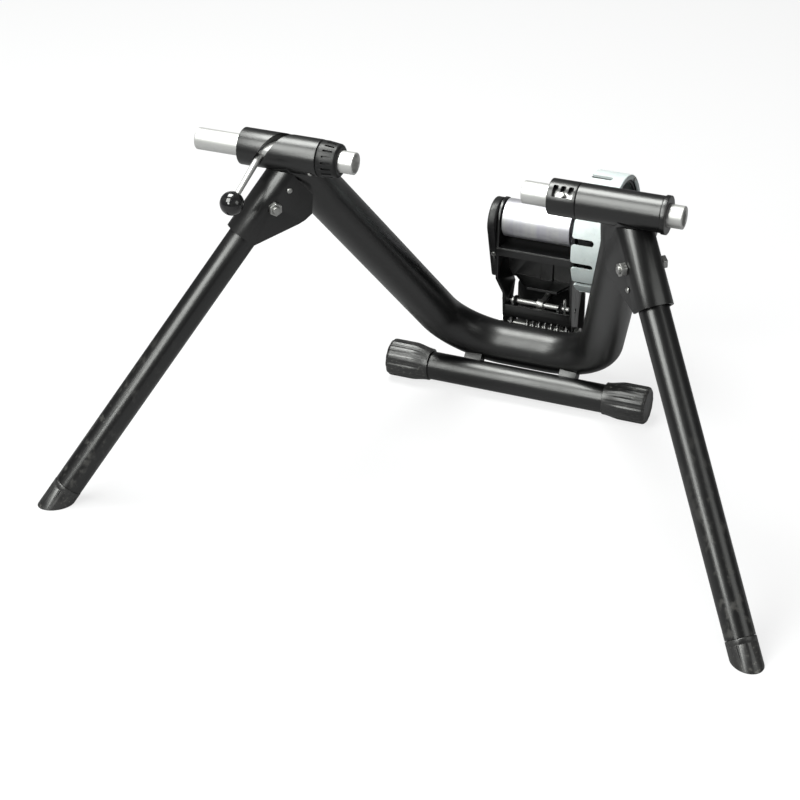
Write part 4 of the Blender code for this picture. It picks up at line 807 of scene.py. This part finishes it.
def left_clamp_sleeve():
    section = wall(LEFT_SLEEVE_OUTER, LEFT_SLEEVE_INNER, LEFT_SLEEVE_RADIUS, PIN_BORE)
    made = turned("sleeve", softened(section, 0.0009), ALONG_AXLE)
    show(cut(made, slot_cutter()), "left_clamp_sleeve", 0.0004, 40)


def left_adjuster_cap():
    """The grooved cap, stepped in towards its inner end."""
    start, end, radius = LEFT_SLEEVE_INNER + GAP, ADJUSTER_CAP_INNER, LEFT_SLEEVE_RADIUS - 0.0003
    section = [(start, radius), (start + 0.006, radius), (end - 0.002, radius - 0.0016)]
    section += [(end, radius - 0.0038), (end, PIN_BORE), (start, PIN_BORE)]
    made = turned("collar", softened(section, 0.0011), ALONG_AXLE)
    outline = arc((start + GROOVE_START, 0), GROOVE_HALF_WIDTH, 90, 270, 10)
    outline += arc((end - GROOVE_END, 0), GROOVE_HALF_WIDTH, -90, 90, 10)
    low, high = radius - GROOVE_DEPTH, radius + OVERCUT
    angles = round_turn(ADJUSTER_GROOVES, 0.5)
    grooves = [prism("groove", outline, low, high, off_axle(angle)) for angle in angles]
    show(cut(made, merged("grooves", grooves)), "left_adjuster_cap", 0.0003, 40)


def pins():
    """The three bars on the axle line with turned chamfers and cups, and the right one's guide stud."""
    face, start, floor_x = LEFT_PIN_FACE, LEFT_PIN_SPLIT + GAP, LEFT_PIN_FACE - CUP_DEPTH
    profile = [(start, 0), (start, PIN_RADIUS), (face, PIN_RADIUS), (face, CUP_RADIUS)]
    profile += [(floor_x, CUP_FLOOR_RADIUS), (floor_x, 0)]
    show(turned("pin", softened(profile, 0.0012, 4, False), ALONG_AXLE, False), "left_cup_pin")
    start, end = LEFT_PIN_OUTER, LEFT_PIN_SPLIT
    profile = [(start, 0), (start, PIN_RADIUS), (end, PIN_RADIUS), (end, 0)]
    show(turned("pin", softened(profile, 0.0016, 4, False), ALONG_AXLE, False), "left_clamp_shaft")
    face, end, bore = RIGHT_PIN_FACE, RIGHT_PIN_OUTER, RIGHT_PIN_BORE
    profile = [(face, PIN_RADIUS), (end, PIN_RADIUS), (end, bore)]
    profile += [(face + CUP_DEPTH, bore), (face, CUP_RADIUS)]
    show(turned("pin", softened(profile, 0.0012, 4), ALONG_AXLE), "right_axle_pin")
    root, tip = (around_axle(STUD_X, reach, STUD_ANGLE) for reach in (PIN_RADIUS + GAP, STUD_TIP))
    show(rod("stud", root, tip, STUD_RADIUS, 32), "right_guide_stud", 0.0005, 50)


def lever_and_ball():
    reaches = (PIN_RADIUS + GAP, LEVER_REACH, BALL_REACH)
    root, tip, centre = (around_axle(LEVER_X, reach, LEVER_ANGLE) for reach in reaches)
    show(rod("lever", root, tip, LEVER_TIP_RADIUS, 48, LEVER_ROOT_RADIUS), "clamp_lever")
    steps = arc((0, 0), BALL_RADIUS, 160, 0, 40)
    profile = [(-BALL_RADIUS * BALL_FLAT, 0)] + [(x, max(y, 0)) for x, y in steps[:-1]] + [(BALL_RADIUS, 0)]
    ball = turned("ball", profile, placed(centre, centre - root, (1, 0, 0)), False)
    beyond = tip + (tip - root) * 0.005
    bore = rod("bore", root, beyond, LEVER_TIP_RADIUS + GAP, 48, LEVER_ROOT_RADIUS + GAP)
    show(cut(ball, bore), "lever_ball")


def notch_window():
    """The stud's window: a straight run along the axle with notches on its upper side."""
    half, top = NOTCH_HALF_HEIGHT, NOTCH_HALF_HEIGHT + NOTCH_DEPTH
    span = NOTCH_PITCH * (NOTCH_COUNT - 1) + NOTCH_WIDTH
    left = STUD_X - span / 2
    right = left + span
    outline = [(left, -half), (right, -half)]
    for i in range(NOTCH_COUNT):
        far = right - i * NOTCH_PITCH
        near = far - NOTCH_WIDTH
        outline += arc((far - NOTCH_CORNER, top), NOTCH_CORNER, 0, 90, 4)
        outline += arc((near + NOTCH_CORNER, top), NOTCH_CORNER, 90, 180, 4)
        if i < NOTCH_COUNT - 1:
            outline += [(near, half), (far - NOTCH_PITCH, half)]
    return prism("window", outline, PIN_RADIUS - 0.003, RIGHT_SLEEVE_RADIUS + 0.004, off_axle(STUD_ANGLE))


def right_sleeves():
    radius, seam, end = RIGHT_SLEEVE_RADIUS, RIGHT_SLEEVE_SEAM, RIGHT_SLEEVE_OUTER
    section = wall(RIGHT_SLEEVE_INNER, seam - GAP, radius, PIN_BORE)
    made = turned("collar", softened(section, 0.001), ALONG_AXLE)
    show(cut(made, notch_window()), "right_notch_collar", 0.0004, 40)
    lip = radius + RIGHT_SLEEVE_LIP
    profile = [(seam, radius), (end - RIGHT_LIP_FOOT, radius), (end - RIGHT_LIP_WIDTH, lip)]
    profile += [(end, lip), (end, PIN_BORE), (seam, PIN_BORE)]
    show(turned("sleeve", softened(profile, 0.0006, 3), ALONG_AXLE), "right_clamp_sleeve")


# Roller unit

ROLLER_CENTRE = Vector((0, 0.308, 0.1953))
ALONG_ROLLER = placed(ROLLER_CENTRE, (1, 0, 0), (0, 1, 0))
ACROSS_UNIT = placed((0, 0, 0), (1, 0, 0), (0, 1, 0))
ROLLER_LEFT = -0.048
ROLLER_RIGHT = 0.037
ROLLER_RADIUS = 0.023
RECESS_INNER = 0.011
RECESS_OUTER = 0.019
RECESS_DEPTH = 0.009
SHAFT_RADIUS = 0.006
SHAFT_LEFT = -0.0629
SHAFT_TIP_RADIUS = 0.004
SHAFT_TIP_LENGTH = 0.0052
BEARING_OUTER = 0.011
BEARING_INNER = 0.0063
BEARING_BORE = 0.0113
LEFT_BEARING = (-0.0625, -0.0535)
RIGHT_BEARING = (0.0453, 0.0537)
CHANNEL_OUTER = 0.0098
CHANNEL_INNER = 0.0076
CHANNEL_DEPTH = 0.0007
HUB_INNER = 0.0443
HUB_OUTER = 0.0547
HUB_RADIUS = 0.019
DRUM_RADIUS = 0.073
DRUM_LEFT = 0.055
DRUM_RIGHT = 0.0955
DRUM_WALL = 0.003
DRUM_RIM = 0.0065
DRUM_POINTS = 180
LUG_COUNT = 15
LUG_GAP = 0.0076
LUG_LENGTH = 0.027
LUG_MOUTH_CORNER = 0.0035
LUG_PHASE = math.radians(178.4)
RIM_SCREW_COUNT = 3
RIM_SCREW_INSET = 0.0014
SCREW_HOLE_RADIUS = 0.0019
BACKPLATE_RADIUS = 0.0697
BACKPLATE_BORE = 0.007
BACKPLATE_THICKNESS = 0.003
GRILLE_THICKNESS = 0.0026
GRILLE_RIM = 0.0065
GRILLE_MIDDLE = (0.044, 0.040)
GRILLE_HUB = (0.021, 0.015)
SPOKE_COUNT = 6
SPOKE_HALF_WIDTH = 0.0016
SPOKE_INNER = 0.017
SPOKE_INSET = 0.0004
SPOKE_OVERLAP = 0.003
FAN_LEFT = DRUM_LEFT + 0.005
FAN_PLATE = 0.002
FAN_FILLET = 0.004
FAN_HUB_RADIUS = 0.013
FAN_HUB_END = 0.0802
BLADE_COUNT = 12
BLADE_STEPS = 12
BLADE_INNER = 0.026
BLADE_OUTER = 0.064
BLADE_HALF_THICKNESS = 0.0009
BLADE_INSET = 0.001
BLADE_ROOM = 0.0015
BLADE_SWEEP = math.radians(34)
BLADE_CURVE = 1.4


def roller():
    """The drum with its end recesses and a rounded edge."""
    first, last, bore = ROLLER_LEFT, ROLLER_RIGHT, SHAFT_RADIUS + GAP
    left_floor, right_floor, edge = first + RECESS_DEPTH, last - RECESS_DEPTH, RECESS_OUTER - 0.001
    profile = [(first, RECESS_OUTER), (first, ROLLER_RADIUS), (last, ROLLER_RADIUS), (last, RECESS_OUTER)]
    profile += [(right_floor, edge), (right_floor, RECESS_INNER), (last, RECESS_INNER), (last, bore)]
    profile += [(first, bore), (first, RECESS_INNER), (left_floor, RECESS_INNER), (left_floor, edge)]
    show(turned("roller", softened(profile, 0.0013), ALONG_ROLLER), "roller")


def off_roller(angle):
    """The matrix whose local Z points out from the roller's axis, with local X along it."""
    return placed(ROLLER_CENTRE, (0, math.cos(angle), math.sin(angle)), (1, 0, 0))


def screw_holes():
    """Cutters for the screws through the drum's rim and the grille."""
    radius = DRUM_RADIUS - DRUM_RIM / 2 - RIM_SCREW_INSET
    out = Vector((0.01, 0, 0))
    holes = []
    for turn in round_turn(RIM_SCREW_COUNT):
        angle = LUG_PHASE + turn
        place = ROLLER_CENTRE + Vector((DRUM_RIGHT, radius * math.cos(angle), radius * math.sin(angle)))
        holes.append(rod("hole", place - out, place + out, SCREW_HOLE_RADIUS, 32))
    return holes


def fan_housing():
    """The lugged drum, with moulded round edges."""
    inner, rim, mouth = DRUM_RADIUS - DRUM_WALL, DRUM_RADIUS - DRUM_RIM, LUG_MOUTH_CORNER
    section = [(DRUM_LEFT, DRUM_RADIUS), (DRUM_RIGHT, DRUM_RADIUS), (DRUM_RIGHT, rim)]
    section += [(DRUM_RIGHT - DRUM_WALL, rim), (DRUM_RIGHT - DRUM_WALL, inner), (DRUM_LEFT, inner)]
    made = turned("drum", softened(section, 0.0016, 4), ALONG_ROLLER, count=DRUM_POINTS)
    half, end = LUG_GAP / 2, DRUM_LEFT + LUG_LENGTH - LUG_GAP / 2
    lower = [(DRUM_LEFT - 0.001, -half - mouth), (DRUM_LEFT, -half - mouth)]
    lower += arc((DRUM_LEFT + mouth, -half - mouth), mouth, 180, 90, 8)[1:]
    outline = lower + arc((end, 0), half, -90, 90, 16) + [(x, -y) for x, y in lower[::-1]]
    low, high = DRUM_RADIUS - 0.006, DRUM_RADIUS + 0.003
    turns = round_turn(LUG_COUNT, 0.5)
    slots = [prism("slot", outline, low, high, off_roller(LUG_PHASE + turn)) for turn in turns]
    cut(made, merged("slots", slots))
    show(cut(made, *screw_holes()), "fan_housing", 0.0007, 45)


def intake_grille():
    """Three rings on six spokes, just inside the drum's rim."""
    last, outer = DRUM_RIGHT - DRUM_WALL - GAP, DRUM_RADIUS - DRUM_WALL - GAP
    first = last - GRILLE_THICKNESS

    def ring(big, small):
        return turned("ring", softened(wall(first, last, big, small), 0.0007, 2), ALONG_ROLLER)

    made = ring(outer, outer - GRILLE_RIM)
    low = (first + SPOKE_INSET, -SPOKE_HALF_WIDTH, SPOKE_INNER)
    high = (last - SPOKE_INSET, SPOKE_HALF_WIDTH, outer - SPOKE_OVERLAP)
    spokes = [box("spoke", low, high, off_roller(angle)) for angle in round_turn(SPOKE_COUNT, 0.5)]
    join(made, merged("spokes", spokes), ring(*GRILLE_MIDDLE), ring(*GRILLE_HUB))
    show(cut(made, *screw_holes()), "intake_grille", 0.0003, 45)


def impeller():
    """The fan, its blades drawn as smooth curves."""
    first, bore, hub, tip = FAN_LEFT, SHAFT_RADIUS + GAP, FAN_HUB_RADIUS, BLADE_OUTER
    face, blade_end = first + FAN_PLATE, DRUM_LEFT + LUG_LENGTH - BLADE_ROOM
    profile = [(first, tip), (face, tip), (face, hub + FAN_FILLET), (face + FAN_FILLET, hub)]
    profile += [(FAN_HUB_END, hub - 0.001), (FAN_HUB_END, bore), (first, bore)]
    made = turned("fan", softened(profile, 0.0006, 2), ALONG_ROLLER)
    blades = []
    for start in round_turn(BLADE_COUNT):
        sides = ([], [])
        for step in range(BLADE_STEPS + 1):
            share = step / BLADE_STEPS
            radius = BLADE_INNER + (tip - BLADE_INSET - BLADE_INNER) * share
            angle = start - BLADE_SWEEP * share**BLADE_CURVE
            for side, way in zip(sides, (-1, 1)):
                turn = angle + way * BLADE_HALF_THICKNESS / radius
                side.append((radius * math.cos(turn), radius * math.sin(turn)))
        blades.append(prism("blade", sides[0] + sides[1][::-1], face - BLADE_INSET, blade_end, ALONG_ROLLER))
    show(join(made, merged("blades", blades)), "impeller", 0.0003, 45)


def bearing(word, ends, face, way):
    """A bearing with a shallow channel between its races, in the face that shows."""
    ring = wall(*ends, BEARING_OUTER, BEARING_INNER)
    made = turned("bearing", softened(ring, 0.0005), ALONG_ROLLER)
    channel = wall(face + way * CHANNEL_DEPTH, face - way * 0.001, CHANNEL_OUTER, CHANNEL_INNER)
    show(cut(made, turned("channel", channel, ALONG_ROLLER)), word + "_bearing")


def turned_details():
    """The hub, bearings, back plate and shaft."""
    hub = wall(HUB_INNER, HUB_OUTER, HUB_RADIUS, BEARING_BORE)
    show(turned("hub", softened(hub, 0.001), ALONG_ROLLER), "right_bearing_hub")
    bearing("left", LEFT_BEARING, LEFT_BEARING[0], 1)
    bearing("right", RIGHT_BEARING, RIGHT_BEARING[1], -1)
    plate = wall(DRUM_LEFT, DRUM_LEFT + BACKPLATE_THICKNESS, BACKPLATE_RADIUS, BACKPLATE_BORE)
    show(turned("plate", softened(plate, 0.0006), ALONG_ROLLER), "fan_backplate")
    first, shoulder, end = SHAFT_LEFT, FAN_HUB_END, FAN_HUB_END + SHAFT_TIP_LENGTH
    profile = [(first, 0), (first, SHAFT_RADIUS), (shoulder, SHAFT_RADIUS)]
    profile += [(shoulder, SHAFT_TIP_RADIUS), (end, SHAFT_TIP_RADIUS), (end, 0)]
    show(turned("shaft", softened(profile, 0.0006, 3, False), ALONG_ROLLER, False), "roller_shaft")


BLOCK_RADIUS = 0.027
BLOCK_LEFT = -0.0635
BLOCK_RIGHT = -0.0533
BLOCK_CENTRE = (0.304, 0.1923)
BLOCK_FRONT_TOP = Vector((0, 0.2772, 0.1895))
BLOCK_FRONT_FOOT = Vector((0, 0.2967, 0.1221))
BLOCK_CORNER = 0.005
BLOCK_CORNER_FRONT = (0.3015, 0.1235)
BLOCK_CORNER_BACK = (0.320, 0.1235)
BLOCK_SCREW_X = -0.0572
BLOCK_SCREW_SHARE = 0.53
BLOCK_SCREW_DEPTH = 0.009


def bearing_block():
    """The arched end plate, with a deep moulded edge."""
    top, foot = BLOCK_FRONT_TOP, BLOCK_FRONT_FOOT
    outline = arc(BLOCK_CENTRE, BLOCK_RADIUS, -8, 180, 48) + [(top.y, top.z), (foot.y, foot.z)]
    outline += arc(BLOCK_CORNER_FRONT, BLOCK_CORNER, 216, 270, 8)
    outline += arc(BLOCK_CORNER_BACK, BLOCK_CORNER, 270, 350, 12)
    made = prism("block", outline, BLOCK_LEFT, BLOCK_RIGHT, ACROSS_UNIT)
    rounded_edges(made, 0.0018, 60, 5)
    apply_modifiers(made)
    along = (foot - top).normalized()
    start = top.lerp(foot, BLOCK_SCREW_SHARE) + Vector((BLOCK_SCREW_X, 0, 0))
    out = Vector((0, along.z, -along.y))
    screw = rod("hole", start - out * BLOCK_SCREW_DEPTH, start + out * 0.01, SCREW_HOLE_RADIUS, 32)
    left, right = (ROLLER_CENTRE - Vector((reach, 0, 0)) for reach in (0.0735, 0.0433))
    show(cut(made, rod("bore", left, right, BEARING_BORE, FINE), screw), "left_bearing_block", smooth=35)


SPRING_TURNS = 6.25
SPRING_STEPS = 400
SPRING_LEG_STEPS = 8
SPRING_POINTS = 20
SPRING_PITCH = 0.0078
SPRING_SHIFT = 0.0065
SPRING_RADIUS = 0.009
SPRING_WIRE = 0.002
SPRING_FOOT = 0.0393
SPRING_LEG = 0.0195
SPRING_ROOM = 0.0014
WEB_Y = 0.2875
WEB_HALF_THICKNESS = 0.0015
HINGE_Y = 0.300
HINGE_Z = 0.059


def spring_path():
    """The wire's middle line: the leg up from the plate, the coils, and the leg to the bracket's web."""
    web = WEB_Y + WEB_HALF_THICKNESS + SPRING_ROOM
    start = -SPRING_PITCH * SPRING_TURNS / 2 + SPRING_SHIFT
    leg = [SPRING_FOOT + SPRING_LEG * i / SPRING_LEG_STEPS for i in range(SPRING_LEG_STEPS)]
    path = [Vector((start, HINGE_Y + SPRING_RADIUS, z)) for z in leg]
    for i in range(1, SPRING_STEPS + 1):
        angle = math.tau * SPRING_TURNS * i / SPRING_STEPS
        y, z = HINGE_Y + SPRING_RADIUS * math.cos(angle), HINGE_Z + SPRING_RADIUS * math.sin(angle)
        path.append(Vector((start + SPRING_PITCH * angle / math.tau, y, z)))
    tip = path[-1]
    steps = range(1, SPRING_LEG_STEPS + 1)
    return path + [Vector((tip.x, tip.y + (web - tip.y) * i / SPRING_LEG_STEPS, tip.z)) for i in steps]


def hinge_spring():
    """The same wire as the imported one, as a smooth round mesh."""
    path = spring_path()
    angles = round_turn(SPRING_POINTS)
    rings = []
    for i, point in enumerate(path):
        along = (path[min(i + 1, len(path) - 1)] - path[max(i - 1, 0)]).normalized()
        out = Vector((0, point.y - HINGE_Y, point.z - HINGE_Z))
        out = (out - along * out.dot(along)).normalized()
        over = along.cross(out)
        rings.append([point + (out * math.cos(a) + over * math.sin(a)) * SPRING_WIRE for a in angles])
    show(solid("spring", rings), "hinge_spring", smooth=60)


KNOB_FRONT = 0.3333
KNOB_BACK = 0.351
KNOB_HEIGHT = 0.090
KNOB_BORE = 0.0043
KNOB_POINTS = 144
KNOB_LOBES = 6

# For each round ring: radius, how far behind the front or short of the back
KNOB_NECK = ((KNOB_BORE, 0), (0.0084, 0), (0.009, 0.0006), (0.009, 0.005))
KNOB_DISH = ((0.0085, 0.0012), (0.0062, 0.0012), (0.006, 0), (KNOB_BORE, 0))

# The same for each lobed ring, and its lobes' depth
KNOB_FRONT_RINGS = ((0.0155, 0.0054, 0.0018), (0.0166, 0.0063, 0.0024), (0.017, 0.0078, 0.0025))
KNOB_BACK_RINGS = (
    (0.017, 0.0035, 0.0025),
    (0.0164, 0.0015, 0.0024),
    (0.0148, 0.0003, 0.0020),
    (0.0125, 0, 0.0015),
)


def lobed(radius, place, depth):
    """One ring of the knob, with lobes of a depth."""
    ring = []
    for angle in round_turn(KNOB_POINTS):
        reach = radius - depth * (0.5 - 0.5 * math.cos(KNOB_LOBES * angle))
        ring.append(Vector((reach * math.cos(angle), reach * math.sin(angle), place)))
    return ring


def adjuster_knob():
    """A lobed knob with soft lobes and a dished back."""
    front, back = KNOB_FRONT, KNOB_BACK
    rings = [circle(radius, front + behind, KNOB_POINTS) for radius, behind in KNOB_NECK]
    rings += [lobed(radius, front + behind, depth) for radius, behind, depth in KNOB_FRONT_RINGS]
    rings += [lobed(radius, back - short, depth) for radius, short, depth in KNOB_BACK_RINGS]
    rings += [circle(radius, back - short, KNOB_POINTS) for radius, short in KNOB_DISH]
    matrix = placed((0, 0, KNOB_HEIGHT), (0, 1, 0), (1, 0, 0))
    show(solid("knob", rings, matrix, closed=True), "adjuster_knob", smooth=40)


# The pieces that stay as packed get rounded edges

SHEET_EDGES = {
    "swing_bracket": 0.0007,
    "unit_mount": 0.0007,
    "left_leg_bracket": 0.0008,
    "right_leg_bracket": 0.0008,
}
FASTENER_EDGE = 0.0004
WELD_DISTANCE = 0.00001
FLAT_ANGLE = math.radians(0.5)


def dress(node, obj):
    """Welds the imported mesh, drops the lines across its flats and rounds its edges, all as modifiers."""
    paint(obj, node)
    step = obj.modifiers.new("weld", "WELD")
    step.merge_threshold = WELD_DISTANCE
    step = obj.modifiers.new("flats", "DECIMATE")
    step.decimate_type = "DISSOLVE"
    step.angle_limit = FLAT_ANGLE
    smoothed(obj, 35)
    rounded_edges(obj, SHEET_EDGES.get(node, FASTENER_EDGE), 35)


def fine_pieces():
    main_frame()
    foot_crossbar()
    for word, side in (("left", -1), ("right", 1)):
        foot_cap(word, side)
        leg_tube(word, side)
        leg_foot(word, side)
    left_clamp_sleeve()
    left_adjuster_cap()
    pins()
    lever_and_ball()
    right_sleeves()
    roller()
    fan_housing()
    intake_grille()
    impeller()
    turned_details()
    bearing_block()
    hinge_spring()
    adjuster_knob()


# Floor, lights and camera

FLOOR_HALF = 60
FLOOR_COLOUR = (0.18, 0.18, 0.184, 1)
FLOOR_GLOW = {"Is Camera Ray": 0.77, "Is Glossy Ray": 0.15, "Is Transmission Ray": 0.77}
WORLD_SEEN = 0.78
WORLD_LIGHT = 0.12
LIGHT_COLOUR = (0.98, 1.0, 0.965)

# Each lamp's name, place, target, width in metres and watts
LIGHTS = (
    ("top", (-0.75, 0.25, 2.3), (-0.05, 0.05, 0.2), 1.15, 62),
    ("front", (-0.83, -1.45, 1.93), (0, 0.1, 0.1), 1.3, 46),
    ("left", (-0.56, -2.38, 1.24), (0.3, -0.1, 0.15), 0.7, 18),
    ("side", (2.2, -0.6, 1.3), (0, 0.05, 0.2), 1.2, 8),
)

# The camera that was fitted to the photo
CAMERA_PLACE = (0.7460, -2.0464, 1.2964)
CAMERA_VIEW = (-0.33089, 0.80566, -0.49134)
CAMERA_RIGHT = (0.92502, 0.37991, 0)
CAMERA_LENS = 99.0


def glow_of(tree, strengths):
    """A strength that depends on the kind of ray, as an output."""
    path = tree.nodes.new("ShaderNodeLightPath")
    total = None
    for kind, strength in strengths.items():
        share = tree.nodes.new("ShaderNodeMath")
        share.operation = "MULTIPLY_ADD"
        tree.links.new(path.outputs[kind], share.inputs[0])
        share.inputs[1].default_value = strength
        share.inputs[2].default_value = 0
        if total:
            tree.links.new(total, share.inputs[2])
        total = share.outputs["Value"]
    return total


def floor():
    """A pale floor that keeps the shadows. Its glow makes it nearly white to the eye, and dimmer in gloss."""
    mesh = bpy.data.meshes.new("floor")
    corners = [(x * FLOOR_HALF, y * FLOOR_HALF, 0) for x, y in ((-1, -1), (1, -1), (1, 1), (-1, 1))]
    mesh.from_pydata(corners, [], [(0, 1, 2, 3)])
    obj = linked("floor", mesh)
    look = bpy.data.materials.new("floor")
    look.use_nodes = True
    tree = look.node_tree
    tree.nodes.clear()
    out = tree.nodes.new("ShaderNodeOutputMaterial")
    lit, glow = tree.nodes.new("ShaderNodeBsdfDiffuse"), tree.nodes.new("ShaderNodeEmission")
    put(lit, Color=FLOOR_COLOUR)
    both = tree.nodes.new("ShaderNodeAddShader")
    tree.links.new(glow_of(tree, FLOOR_GLOW), glow.inputs["Strength"])
    tree.links.new(lit.outputs[0], both.inputs[0])
    tree.links.new(glow.outputs[0], both.inputs[1])
    tree.links.new(both.outputs[0], out.inputs["Surface"])
    mesh.materials.append(look)


def area_light(name, place, target, size, power):
    data = bpy.data.lights.new(name, "AREA")
    data.energy = power
    data.size = size
    data.color = LIGHT_COLOUR
    obj = linked(name, data)
    place = Vector(place)
    obj.matrix_world = placed(place, place - Vector(target), (1, 0, 0.001))


def studio():
    """Four soft lamps, and a world that is paler to the eye than the light it gives."""
    world = bpy.data.worlds.new("studio")
    bpy.context.scene.world = world
    world.use_nodes = True
    tree = world.node_tree
    back = tree.nodes["Background"]
    put(back, Color=(1, 1, 1, 1))
    extra = WORLD_SEEN - WORLD_LIGHT
    seen = glow_of(tree, {"Is Camera Ray": extra, "Is Transmission Ray": extra})
    lift = tree.nodes.new("ShaderNodeMath")
    lift.inputs[1].default_value = WORLD_LIGHT
    tree.links.new(seen, lift.inputs[0])
    tree.links.new(lift.outputs["Value"], back.inputs["Strength"])
    for lamp in LIGHTS:
        area_light(*lamp)


def camera():
    data = bpy.data.cameras.new("camera")
    data.lens = CAMERA_LENS
    data.sensor_width = 36
    data.clip_end = 100
    obj = linked("camera", data)
    view, right = Vector(CAMERA_VIEW), Vector(CAMERA_RIGHT)
    turn = Matrix((right, right.cross(view), -view)).transposed().to_4x4()
    turn.translation = CAMERA_PLACE
    obj.matrix_world = turn
    bpy.context.scene.camera = obj


fine_pieces()
for node, obj in frame["nodes"].items():
    if not obj.hide_render:
        dress(node, obj)
floor()
studio()
camera()
bpy.context.scene.view_settings.view_transform = "Standard"
